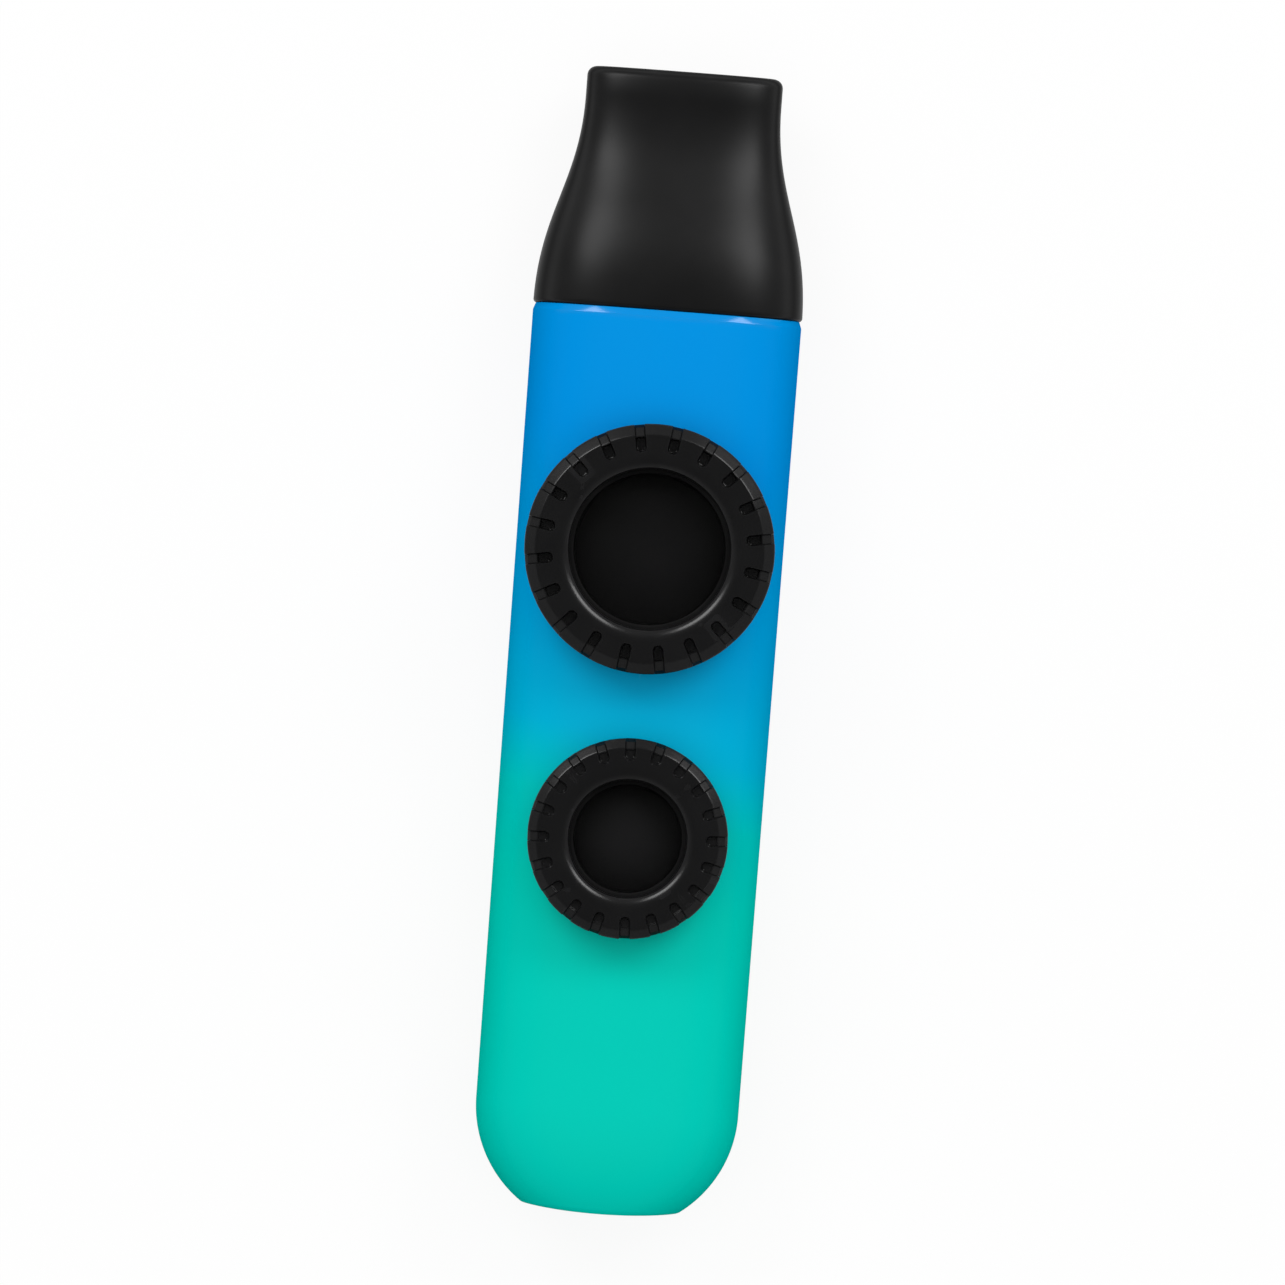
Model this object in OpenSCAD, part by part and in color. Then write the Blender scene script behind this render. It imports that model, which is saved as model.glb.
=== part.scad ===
// Kazoo with two film holes: a hollow flattened body, a plug-in duckbill mouthpiece,
// and two notched screw rings that clamp thin films on turrets standing on the front.
// It lies on its back: X runs across it, +Y points to the mouthpiece and +Z out of the front.
// All lengths are in millimetres.

/* [Body] */
// Length of the body, from the mouthpiece joint to the far end
body_len = 100.6; // [94:0.1:130]
// Width of the body at the mouthpiece joint
body_w = 30; // [27:0.1:36]
// How much narrower the body gets on its way to the far corners
body_taper = 0.7; // [0:0.1:3]
// Thickness of the body, from the flat on its back to the crown of its front
body_thick = 18; // [16:0.1:24]
// Thickness of the body's walls
wall = 1.8; // [1.2:0.1:2.4]
// Radius of the far corners, seen from the front
corner_r = 13.8; // [9:0.1:13.9]
// How much of the corners' sweep the end face cuts off
corner_cut = 1.93; // [1.2:0.01:3]
// How far the middle of the end face bulges past its sides
end_bow = 0.53; // [0.2:0.01:0.8]
// Rounding between the far corners and the end face
end_round = 1; // [0.6:0.1:1.4]
// How much thinner the nose gets on the front, and as much again on the back
nose_drop = 2.6; // [1:0.1:4]
// Length of the bevel round the lip at the mouthpiece joint
lip_bevel_len = 0.72; // [0.4:0.01:1.2]
// How far the lip's bevel comes in
lip_bevel_drop = 0.3; // [0.1:0.05:0.5]
// Small bevel that breaks the edge between the lip's bevel and its end face
lip_break = 0.12; // [0.05:0.01:0.3]
// Depth of the flat that the back rests on
rest_flat = 0.15; // [0.1:0.01:0.3]
// Width of the air outlet in the far end
outlet_w = 12; // [8:0.1:14]
// Height of the air outlet in the far end
outlet_h = 6; // [4.6:0.1:7]
// Thickness of the wall round the air outlet
end_wall = 2.2; // [1.5:0.1:3.5]

/* [Mouthpiece] */
// Length of the mouthpiece that stands out of the body
mouth_len = 26.8; // [25:0.1:36]
// Width of the mouthpiece at its tip
tip_w = 21.78; // [18:0.01:26]
// Rounding of the mouthpiece's edge at the joint
base_round = 0.45; // [0.2:0.05:0.8]
// Thickness of the mouthpiece at its tip
tip_thick = 9; // [8.2:0.1:12]
// Length of the flare between the joint and the straight tip
flare_len = 23.5; // [18:0.1:24]
// How long the flare keeps to the body's direction before it turns in
flare_hold = 10.4; // [7:0.1:13]
// How long the flare runs out along the tip's direction
flare_runout = 9.8; // [6:0.1:12]
// Rounding of the lips at the tip
tip_round = 1; // [0.6:0.1:1.2]
// Rounding of the channel's mouth
channel_round = 0.4; // [0.2:0.05:0.5]
// Thickness of the mouthpiece's walls at the tip
mouth_wall = 1.8; // [1.6:0.1:1.9]
// Length of the spigot that plugs into the body
spigot_len = 9.5; // [6:0.1:11]
// Thickness of the spigot's walls
spigot_wall = 1.5; // [1:0.1:2]
// Clearance all round between the spigot and the body
spigot_clear = 0.12; // [0.05:0.01:0.25]
// Bevel that leads the spigot into the body
spigot_bevel = 0.7; // [0.3:0.1:1]

/* [Large screw ring] */
// Distance from the mouthpiece joint to the centre of the large ring
large_from_joint = 26.55; // [25:0.05:28]
// Radius of the large ring
large_base_r = 13.85; // [11.5:0.05:14.5]
// Width of the bevel round the large ring's face
large_bevel_w = 1.2; // [0.7:0.05:1.5]
// Width of the large ring from its outside to its hole
large_rim_w = 4.95; // [4.4:0.05:6]
// Thickness of the large ring's wall at its foot, outside the thread
large_skirt_wall = 2.57; // [1.8:0.01:3]
// Length of the notches across the large ring's face
large_notch_len = 1.65; // [1.1:0.05:1.9]
// Depth of the notches in the large ring's face
large_notch_depth = 1.1; // [0.5:0.05:1.4]
// Turn of the first notch from the mouthpiece's side, in degrees
large_notch_turn = 9; // [0:0.5:17.5]

/* [Small screw ring] */
// Distance between the centres of the two rings
ring_spacing = 32.1; // [28:0.1:36]
// Radius of the small ring
small_base_r = 11.1; // [9:0.05:12]
// Width of the bevel round the small ring's face
small_bevel_w = 1; // [0.6:0.05:1.3]
// Width of the small ring from its outside to its hole
small_rim_w = 4.6; // [4.2:0.05:5.4]
// Thickness of the small ring's wall at its foot, outside the thread
small_skirt_wall = 2.32; // [1.8:0.01:2.8]
// Length of the notches across the small ring's face
small_notch_len = 1.2; // [1.1:0.05:1.6]
// Depth of the notches in the small ring's face
small_notch_depth = 0.55; // [0.4:0.05:1.2]
// Turn of the first notch from the mouthpiece's side, in degrees
small_notch_turn = -2.5; // [-9:0.5:9]

/* [Both screw rings] */
// Thickness of the rings' inward lip
lip_thick = 1.8; // [1.4:0.1:2.6]
// Rounding of the holes' mouths
mouth_round = 1; // [0.5:0.1:1.3]
// Slope of the bevel round the rings' faces, in degrees
bevel_slope = 31; // [20:1:45]
// Number of notches round each ring
notch_count = 20; // [12:1:28]
// Width of a notch
notch_w = 1.05; // [0.6:0.05:1.1]
// Width of the face that is left between the notches and the bevel
notch_rim = 0.2; // [0.1:0.05:0.4]
// Depth of the dent that runs from each notch over the bevel and down the side
dent_depth = 0.35; // [0.2:0.05:0.45]
// Running clearance between the rings and the turrets' threads
thread_clear = 0.08; // [0.03:0.01:0.1]
// Gap under a ring that is screwed down
ring_gap = 0.2; // [0.1:0.05:0.5]

/* [Turrets and films] */
// Height of the round pads on the body's front above its crown
pad_rise = 0.4; // [0.2:0.05:1]
// How far the pads stay inside the rings' feet
pad_inset = 0.85; // [0.5:0.05:1.1]
// Thickness of the turrets' flanges
flange_thick = 0.8; // [0.6:0.05:1.4]
// How far the flanges stay inside the rings' feet
flange_inset = 1.2; // [0.9:0.05:1.5]
// Height of the turrets' threaded necks
neck_h = 2.8; // [2.4:0.1:4]
// Thickness of the neck's wall round the films
neck_wall = 0.9; // [0.7:0.05:1.1]
// How far the turrets' sockets lie inside their threads
socket_inset = 0.8; // [0.6:0.05:1]
// How far the turrets reach into the air chamber
turret_reach = 0.6; // [0.2:0.1:1.5]
// Assembly clearance of the turrets in the body and of the films in their wells
seat_clear = 0.06; // [0.02:0.01:0.1]
// Thickness of the films
film_thick = 0.1; // [0.05:0.01:0.2]
// Thickness of the frames that the films are stretched on
frame_thick = 0.5; // [0.3:0.05:0.9]
// Width of the frames that the films are stretched on
frame_w = 1.4; // [0.8:0.05:1.6]
// Thickness of the film clamps
clamp_thick = 1; // [0.7:0.05:1.6]
// How far the film clamps stand above the turrets' necks
clamp_proud = 0.4; // [0.2:0.05:0.6]
// How far the film clamps show inside the rings' holes
clamp_show = 0.5; // [0.2:0.05:0.8]
// How far the air passages through the turrets lie inside the film clamps' openings
passage_inset = 0.3; // [0.1:0.05:1]

/* [Hidden] */

// Bends the flattened section from an ellipse, at 2, towards a box
section_power = 2.8;
// Points round a lofted section, and steps along the curved stretches of a loft
ring_points = 48;
nose_steps = 9;
round_steps = 4;
flare_steps = 16;
// Fineness of the true circles
$fn = 96;
// How far a cutting tool runs past what it cuts
overrun = 1;

// Heights and places along the body
half_thick = (body_thick + rest_flat) / 2;
mid_z = body_thick - half_thick;
total_len = body_len + mouth_len;
joint_y = body_len - total_len / 2;
end_y = -total_len / 2;
large_y = joint_y - large_from_joint;
small_y = large_y - ring_spacing;
body_end_w = body_w - body_taper;

// Radii of the threads inside the rings
large_thread_r = large_base_r - large_skirt_wall - thread_clear;
small_thread_r = small_base_r - small_skirt_wall - thread_clear;

// Centre of the far corners, and where the rounding of the end face meets them
corner_depth = corner_r - corner_cut;
corner_x = body_end_w / 2 - corner_r;
round_x = corner_x + sqrt(pow(corner_r - end_round, 2) - pow(corner_depth - end_bow - end_round, 2));
meet_angle = atan2(corner_depth - end_bow - end_round, round_x - corner_x);

// Heights of the film stacks, from the pad up to the top of the rings
pad_top = body_thick + pad_rise;
flange_top = pad_top + flange_thick;
neck_top = flange_top + neck_h;
stack_thick = film_thick + frame_thick + clamp_thick;
seat_z = neck_top + clamp_proud - stack_thick;
frame_z = seat_z + film_thick;
clamp_z = frame_z + frame_thick;
lip_z = clamp_z + clamp_thick;
ring_z = flange_top + ring_gap;
ring_h = lip_z + lip_thick - ring_z;
turret_foot = body_thick - wall - turret_reach;

black = [0.09, 0.09, 0.1];
paint = [0, 0.6, 0.82];

// Bends a sine or a cosine so that a circle turns into a rounded box
function bend(v) = sign(v) * pow(abs(v), 2 / section_power);

// A ring of points round the flattened section at y. The back is cut flat at height 0,
// and with a bow the middle of the ring runs ahead towards -Y.
function section(y, half_w, half_t, bow = 0) = [
    for (i = [0 : ring_points - 1])
        let (a = 360 * i / ring_points, x = bend(cos(a)), z = bend(sin(a)))
            [half_w * x, y - bow * (1 - x * x), max(mid_z + half_t * z, 0)]
];

// Half width of the body between its joint and its far corners, which tapers evenly
function body_half_w(y) =
    body_end_w / 2 + (body_w - body_end_w) / 2 * (y - end_y - corner_depth) / (body_len - corner_depth);

// Station of the nose at a turn of its corner: distance from the end, half width and how far
// the front and back have come in
function nose_station(turn) =
    turn <= meet_angle
    ? [corner_depth - corner_r * sin(turn),
       corner_x + corner_r * cos(turn),
       nose_drop * (1 - cos(turn)) / (1 - cos(meet_angle))]
    : [end_bow + end_round * (1 - sin(turn)),
       round_x + end_round * cos(turn),
       nose_drop + end_round * (cos(meet_angle) - cos(turn))];

// Point on a smooth curve from a to d, which leaves a towards b and comes to d from c
function curve(t, a, b, c, d) =
    a * pow(1 - t, 3) + b * 3 * t * pow(1 - t, 2) + c * 3 * t * t * (1 - t) + d * pow(t, 3);

// Closed surface through rings of points that run towards -Y, with its two ends closed round
// their middles
module loft(rings) {
    n = len(rings[0]);
    last = len(rings) - 1;
    first_middle = n * (last + 1);
    last_middle = first_middle + 1;
    polyhedron(
        points = [
            for (ring = rings) each ring,
            [0, rings[0][n / 4][1], mid_z],
            [0, rings[last][n / 4][1], mid_z]
        ],
        faces = [
            for (r = [0 : last - 1], i = [0 : n - 1])
                let (j = (i + 1) % n, here = r * n, next = here + n)
                    each [[here + i, next + j, here + j], [here + i, next + i, next + j]],
            for (i = [0 : n - 1])
                let (j = (i + 1) % n)
                    each [[first_middle, i, j], [last_middle, last * n + j, last * n + i]]
        ]
    );
}

// Closed tube through rings of points, which run towards +Y outside and come back inside,
// so that the last ring joins on to the first
module loft_tube(rings) {
    n = len(rings[0]);
    count = len(rings);
    polyhedron(
        points = [for (ring = rings) each ring],
        faces = [
            for (r = [0 : count - 1], i = [0 : n - 1])
                let (j = (i + 1) % n, here = r * n, next = (r + 1) % count * n)
                    each [[here + i, here + j, next + j], [here + i, next + j, next + i]]
        ]
    );
}

// Outside of the body, from its bevelled lip to its bulging end face
module body_outside() {
    lip = [for (s = [[0, lip_bevel_drop + lip_break], [lip_break, lip_bevel_drop], [lip_bevel_len, 0]])
        section(joint_y - s[0], body_half_w(joint_y - s[0]) - s[1], half_thick - s[1])];
    nose = [for (k = [0 : nose_steps + round_steps])
        let (
            turn = k <= nose_steps
                ? meet_angle * k / nose_steps
                : meet_angle + (90 - meet_angle) * (k - nose_steps) / round_steps,
            s = nose_station(turn),
            bow = max(0, end_bow * (turn - meet_angle) / (90 - meet_angle))
        )
            section(end_y + s[0], s[1], half_thick - s[2], bow)];
    loft([each lip, each nose]);
}

// Air chamber inside the body, open at the joint and closed by the end wall
module body_inside() {
    deep = [for (k = [0 : nose_steps])
        let (s = nose_station(meet_angle * k / nose_steps))
            if (s[0] > end_wall + end_bow)
                section(end_y + s[0], s[1] - wall, half_thick - s[2] - wall)];
    last_turn = asin((corner_depth - end_wall - end_bow) / corner_r);
    last = nose_station(min(last_turn, meet_angle));
    mouth_y = joint_y + overrun;
    loft([
        section(mouth_y, body_half_w(mouth_y) - wall, half_thick - wall),
        each deep,
        section(end_y + end_bow + end_wall, last[1] - wall, half_thick - last[2] - wall)
    ]);
}

// Air outlet through the end wall, a slot with round ends
module outlet() {
    depth = end_wall + end_bow + 2 * overrun;
    straight = outlet_w - outlet_h;
    translate([0, end_y - overrun + depth, mid_z])
        rotate([90, 0, 0])
            linear_extrude(height = depth)
                union() {
                    square([straight, outlet_h], center = true);
                    for (side = [-1, 1])
                        translate([side * straight / 2, 0])
                            circle(r = outlet_h / 2);
                }
}

// Round pad on the body's front that carries a turret
module pad(y, base_r) {
    translate([0, y, mid_z])
        cylinder(r = base_r - pad_inset, h = pad_top - mid_z);
}

// Socket for a turret through the body's front
module socket(y, thread_r) {
    translate([0, y, mid_z])
        cylinder(r = thread_r - socket_inset + seat_clear, h = pad_top - mid_z + overrun);
}

module body_shell() {
    color(paint)
        difference() {
            union() {
                body_outside();
                pad(large_y, large_base_r);
                pad(small_y, small_base_r);
            }
            body_inside();
            socket(large_y, large_thread_r);
            socket(small_y, small_thread_r);
            outlet();
        }
}

// Duckbill mouthpiece: its outside runs from the joint along the flare to the tip, turns in
// round the lips, and its channel runs back inside through the spigot
module mouthpiece() {
    tip_y = joint_y + mouth_len;
    joint_half_w = body_w / 2;
    spigot_inset = wall + spigot_clear;
    spigot_foot = joint_y - spigot_len;
    flare = [for (k = [0 : flare_steps])
        let (t = k / flare_steps)
            [curve(t, 0, flare_hold, flare_len - flare_runout, flare_len),
             curve(t, joint_half_w, joint_half_w, tip_w / 2, tip_w / 2),
             curve(t, half_thick, half_thick, tip_thick / 2, tip_thick / 2),
             mouth_wall + (spigot_inset + spigot_wall - mouth_wall) * (1 - t)]];
    base = [for (k = [0 : round_steps - 1])
        let (a = 90 * k / round_steps, inset = base_round * (1 - sin(a)))
            section(joint_y + base_round * (1 - cos(a)), joint_half_w - inset, half_thick - inset)];
    outside = [for (s = flare)
        if (s[0] > base_round) section(joint_y + s[0], s[1], s[2])];
    lips = [for (k = [0 : round_steps])
        let (a = 90 * k / round_steps, inset = tip_round * (1 - cos(a)))
            section(tip_y - tip_round * (1 - sin(a)), tip_w / 2 - inset, tip_thick / 2 - inset)];
    channel_mouth = [for (k = [0 : round_steps - 1])
        let (a = 90 * k / round_steps, inset = mouth_wall - channel_round * (1 - sin(a)))
            section(tip_y - channel_round * (1 - cos(a)), tip_w / 2 - inset, tip_thick / 2 - inset)];
    channel = [for (k = [flare_steps : -2 : 0])
        let (s = flare[k])
            section(joint_y + s[0], s[1] - s[3], s[2] - s[3])];
    foot_half_w = body_half_w(spigot_foot) - spigot_inset;
    foot_half_t = half_thick - spigot_inset;
    bevel_y = spigot_foot + spigot_bevel;
    spigot = [
        section(spigot_foot, foot_half_w - spigot_wall, foot_half_t - spigot_wall),
        section(spigot_foot, foot_half_w - spigot_bevel, foot_half_t - spigot_bevel),
        section(bevel_y, body_half_w(bevel_y) - spigot_inset, foot_half_t),
        section(joint_y, body_half_w(joint_y) - spigot_inset, foot_half_t)
    ];
    color(black)
        loft_tube(concat(base, outside, lips, channel_mouth, channel, spigot));
}

// Screw ring: a wall with a plain thread bore, a bevel round its face, and a lip that turns in
// to a rounded hole and presses the film clamp. Each notch is a pit in the face, and a shallow
// dent carries its line on over the bevel and down the side.
module screw_ring(y, base_r, bevel_w, rim_w, skirt_wall, notch_len, notch_depth, notch_turn) {
    bore = base_r - skirt_wall;
    face_r = base_r - bevel_w;
    hole_r = base_r - rim_w;
    brow_z = ring_h - bevel_w * tan(bevel_slope);
    pit_r = face_r - notch_rim;
    notch_r = pit_r - notch_len;
    dent_shift = dent_depth * tan(bevel_slope);
    translate([0, y, ring_z])
        difference() {
            rotate_extrude()
                union() {
                    polygon([[bore, 0], [base_r, 0], [base_r, brow_z], [face_r, ring_h],
                             [hole_r + mouth_round, ring_h], [hole_r + mouth_round, ring_h - lip_thick],
                             [bore, ring_h - lip_thick]]);
                    translate([hole_r, ring_h - lip_thick])
                        square([mouth_round, lip_thick - mouth_round]);
                    translate([hole_r + mouth_round, ring_h - mouth_round])
                        intersection() {
                            circle(r = mouth_round);
                            translate([-mouth_round, 0])
                                square(mouth_round);
                        }
                }
            for (k = [0 : notch_count - 1])
                rotate(90 - notch_turn - 360 * k / notch_count)
                    translate([0, 0, ring_h - notch_depth])
                        pit(notch_r, pit_r, notch_depth + overrun);
            difference() {
                for (k = [0 : notch_count - 1])
                    rotate(90 - notch_turn - 360 * k / notch_count)
                        translate([pit_r - notch_rim, -notch_w / 2, -overrun])
                            cube([base_r - pit_r + notch_rim + overrun, notch_w, ring_h + 2 * overrun]);
                rotate_extrude()
                    polygon([[0, -overrun], [base_r - dent_depth, -overrun],
                             [base_r - dent_depth, brow_z - dent_shift],
                             [face_r - dent_shift, ring_h - dent_depth], [0, ring_h - dent_depth]]);
            }
        }
}

// Cutter of one notch's pit, with a round inner end
module pit(notch_r, pit_r, height) {
    translate([notch_r + notch_w / 2, 0, 0])
        linear_extrude(height = height)
            union() {
                circle(r = notch_w / 2);
                translate([0, -notch_w / 2])
                    square([pit_r - notch_r - notch_w / 2, notch_w]);
            }
}

// Turret: a plug through the body's front, a flange that seats on the pad, and the neck that
// the ring screws on, with a well for the film and its frame
module turret(y, base_r, thread_r, rim_w) {
    plug_r = thread_r - socket_inset;
    bore_r = base_r - rim_w - clamp_show - passage_inset;
    well_r = thread_r - neck_wall;
    translate([0, y, 0])
        rotate_extrude()
            polygon([[bore_r, turret_foot], [plug_r, turret_foot], [plug_r, pad_top],
                     [base_r - flange_inset, pad_top], [base_r - flange_inset, flange_top],
                     [thread_r, flange_top], [thread_r, neck_top], [well_r, neck_top],
                     [well_r, seat_z], [bore_r, seat_z]]);
}

// Flat disc or washer that lies in a turret's well
module well_disc(y, z, thread_r, hole_r, thick) {
    outer_r = thread_r - neck_wall - seat_clear;
    translate([0, y, z])
        difference() {
            cylinder(r = outer_r, h = thick);
            if (hole_r > 0)
                translate([0, 0, -overrun])
                    cylinder(r = hole_r, h = thick + 2 * overrun);
        }
}

module large_turret() {
    color(black)
        turret(large_y, large_base_r, large_thread_r, large_rim_w);
}

module large_film() {
    color("gainsboro", 0.4)
        well_disc(large_y, seat_z, large_thread_r, 0, film_thick);
}

module large_film_frame() {
    color("dimgray")
        well_disc(large_y, frame_z, large_thread_r,
                  large_thread_r - neck_wall - seat_clear - frame_w, frame_thick);
}

module large_film_clamp() {
    color("darkslategray")
        well_disc(large_y, clamp_z, large_thread_r, large_base_r - large_rim_w - clamp_show, clamp_thick);
}

module large_ring() {
    color(black)
        screw_ring(large_y, large_base_r, large_bevel_w, large_rim_w, large_skirt_wall,
                   large_notch_len, large_notch_depth, large_notch_turn);
}

module small_turret() {
    color(black)
        turret(small_y, small_base_r, small_thread_r, small_rim_w);
}

module small_film() {
    color("gainsboro", 0.4)
        well_disc(small_y, seat_z, small_thread_r, 0, film_thick);
}

module small_film_frame() {
    color("dimgray")
        well_disc(small_y, frame_z, small_thread_r,
                  small_thread_r - neck_wall - seat_clear - frame_w, frame_thick);
}

module small_film_clamp() {
    color("darkslategray")
        well_disc(small_y, clamp_z, small_thread_r, small_base_r - small_rim_w - clamp_show, clamp_thick);
}

module small_ring() {
    color(black)
        screw_ring(small_y, small_base_r, small_bevel_w, small_rim_w, small_skirt_wall,
                   small_notch_len, small_notch_depth, small_notch_turn);
}

body_shell();
mouthpiece();
large_turret();
large_film();
large_film_frame();
large_film_clamp();
large_ring();
small_turret();
small_film();
small_film_frame();
small_film_clamp();
small_ring();
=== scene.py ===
"""Looks of a kazoo with two film holes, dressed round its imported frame.

The kazoo lies on its back: X runs across it, +Y points to the mouthpiece and +Z out of the
front.  Each piece is a fine mesh that stands for one solid of the frame and rides on that
solid's body, so the mouthpiece pulls out and the two rings screw up off their turrets.
Lengths are in metres, and those of the kazoo are written as millimetres times MM.
"""

import logging
import math
from dataclasses import dataclass, field
from enum import Enum
from typing import Callable, ClassVar, Optional, Sequence

import bpy
import numpy as np
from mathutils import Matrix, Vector

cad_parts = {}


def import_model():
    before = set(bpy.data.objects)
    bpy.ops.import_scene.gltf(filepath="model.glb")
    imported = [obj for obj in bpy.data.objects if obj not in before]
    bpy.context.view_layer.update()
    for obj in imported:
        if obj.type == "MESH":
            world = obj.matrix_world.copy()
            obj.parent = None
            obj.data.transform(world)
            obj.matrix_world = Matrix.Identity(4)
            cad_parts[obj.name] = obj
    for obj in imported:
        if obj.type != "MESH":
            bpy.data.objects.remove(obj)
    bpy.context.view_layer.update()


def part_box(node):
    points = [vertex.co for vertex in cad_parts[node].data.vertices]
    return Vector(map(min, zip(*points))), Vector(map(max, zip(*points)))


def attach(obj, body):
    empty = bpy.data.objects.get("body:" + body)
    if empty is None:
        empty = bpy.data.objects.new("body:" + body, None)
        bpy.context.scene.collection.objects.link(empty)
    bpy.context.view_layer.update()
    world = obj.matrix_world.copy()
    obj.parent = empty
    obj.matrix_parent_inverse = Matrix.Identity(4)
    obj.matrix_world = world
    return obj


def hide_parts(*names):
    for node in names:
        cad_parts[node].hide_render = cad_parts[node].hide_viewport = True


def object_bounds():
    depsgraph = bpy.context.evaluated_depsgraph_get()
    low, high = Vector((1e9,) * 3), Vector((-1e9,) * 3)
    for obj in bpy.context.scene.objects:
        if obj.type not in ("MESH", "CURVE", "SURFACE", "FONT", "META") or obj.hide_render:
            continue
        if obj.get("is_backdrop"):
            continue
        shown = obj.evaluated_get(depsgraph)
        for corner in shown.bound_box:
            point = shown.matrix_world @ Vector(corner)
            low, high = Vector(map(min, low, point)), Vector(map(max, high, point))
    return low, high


MM = 0.001
LOG = logging.getLogger("kazoo")

Colour = tuple[float, float, float]
Shape = Callable[[np.ndarray, np.ndarray, np.ndarray], np.ndarray]
Socket = bpy.types.NodeSocket
Piece = bpy.types.Object


class Slot(Enum):
    """Material slots of the record."""

    PAINT = "body_paint"
    MOUTHPIECE = "mouthpiece_plastic"
    RING = "ring_plastic"
    TURRET = "turret_plastic"
    CLAMP = "clamp_plastic"
    CARD = "frame_card"
    FILM = "film"


class Cut(Enum):
    """Ways in which one solid changes another."""

    JOIN = "UNION"
    TAKE_AWAY = "DIFFERENCE"


# Helpers for shapes


def srgb(red: int, green: int, blue: int) -> Colour:
    """Turns screen values into the scene's linear colour.

    Args:
        red: Red from 0 to 255.
        green: Green from 0 to 255.
        blue: Blue from 0 to 255.

    Returns:
        The linear colour.
    """
    values = []
    for value in (red, green, blue):
        share = value / 255
        values.append(share / 12.92 if share <= 0.04045 else ((share + 0.055) / 1.055) ** 2.4)
    return (values[0], values[1], values[2])


def grey(tone: float, blue: float = 1.0) -> tuple[float, float, float, float]:
    """Grey as a shader colour, with its blue weighed by a share."""
    return (tone, tone, tone * blue, 1.0)


def ease(value: np.ndarray) -> np.ndarray:
    """Smooth step from 0 to 1, for values that are held between 0 and 1 first."""
    held = np.clip(value, 0.0, 1.0)
    return held * held * (3.0 - 2.0 * held)


def round_turns(columns: int) -> np.ndarray:
    """Turns that share a full circle evenly, from 0."""
    return np.linspace(0.0, 2.0 * math.pi, columns, endpoint=False)


def quarter(steps: int) -> np.ndarray:
    """Turns from 0 to a right angle in even steps."""
    return np.linspace(0.0, math.pi / 2, steps + 1)


class Draft:
    """Points and faces of one piece while it is being made."""

    def __init__(self) -> None:
        """Starts with nothing."""
        self.points: list[np.ndarray] = []
        self.quads: list[np.ndarray] = []
        self.tris: list[np.ndarray] = []
        self.count = 0

    def rows(self, points: np.ndarray) -> np.ndarray:
        """Adds rows of points.

        Args:
            points: Array of rows, columns and 3 coordinates.

        Returns:
            The points' numbers, by row and column.
        """
        total, across = points.shape[0], points.shape[1]
        numbers = self.count + np.arange(total * across).reshape(total, across)
        self.points.append(points.reshape(-1, 3))
        self.count += total * across
        return numbers

    def skin(self, numbers: np.ndarray, loop: bool = False) -> None:
        """Covers neighbouring rows, which close round, with four-sided faces.

        Args:
            numbers: Points by row and column.
            loop: Whether the last row joins on to the first.
        """
        here = numbers if loop else numbers[:-1]
        there = np.roll(numbers, -1, axis=0) if loop else numbers[1:]
        corners = [here, np.roll(here, -1, axis=1), np.roll(there, -1, axis=1), there]
        self.quads.append(np.stack(corners, axis=-1).reshape(-1, 4))

    def fan(self, ring: np.ndarray, apex: Sequence[float], flip: bool) -> None:
        """Closes a ring of points round its middle.

        Args:
            ring: Numbers of the points round the ring.
            apex: Place of the middle point.
            flip: Whether the faces run the other way round.
        """
        middle = self.rows(np.array(apex, float).reshape(1, 1, 3))[0, 0]
        following = np.roll(ring, -1)
        first, second = (following, ring) if flip else (ring, following)
        self.tris.append(np.stack([first, second, np.full_like(ring, middle)], axis=-1))

    def tube(self, points: np.ndarray) -> None:
        """Adds rows of points whose last row joins on to the first, as on a ring."""
        self.skin(self.rows(points), loop=True)

    def barrel(self, points: np.ndarray, first: Sequence[float], last: Sequence[float]) -> None:
        """Adds rows of points with both ends closed.

        Args:
            points: Array of rows, columns and 3 coordinates.
            first: Middle of the first end.
            last: Middle of the last end.
        """
        numbers = self.rows(points)
        self.skin(numbers)
        self.fan(numbers[0], first, True)
        self.fan(numbers[-1], last, False)

    def volume(self, points: np.ndarray) -> float:
        """Signed volume inside the faces.

        Args:
            points: All points.

        Returns:
            The volume, below zero where the faces look inwards.
        """
        tris = list(self.tris)
        for quad in self.quads:
            tris += [quad[:, [0, 1, 2]], quad[:, [0, 2, 3]]]
        corners = points[np.concatenate(tris)]
        crossed = np.cross(corners[:, 1], corners[:, 2])
        return float(np.einsum("ij,ij->i", corners[:, 0], crossed).sum() / 6)

    def finish(self, name: str) -> Piece:
        """Turns the draft into an object whose faces look outwards.

        Args:
            name: Name of the piece.

        Returns:
            The new object, linked to the scene.
        """
        points = np.concatenate(self.points)
        painted_light_share = self.volume(points) < 0
        faces: list[list[int]] = []
        for group in self.quads + self.tris:
            faces += (group[:, ::-1] if painted_light_share else group).tolist()
        mesh = bpy.data.meshes.new(name)
        mesh.from_pydata(points.tolist(), [], faces)
        mesh.update()
        made = bpy.data.objects.new(name, mesh)
        bpy.context.scene.collection.objects.link(made)
        return made


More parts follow.
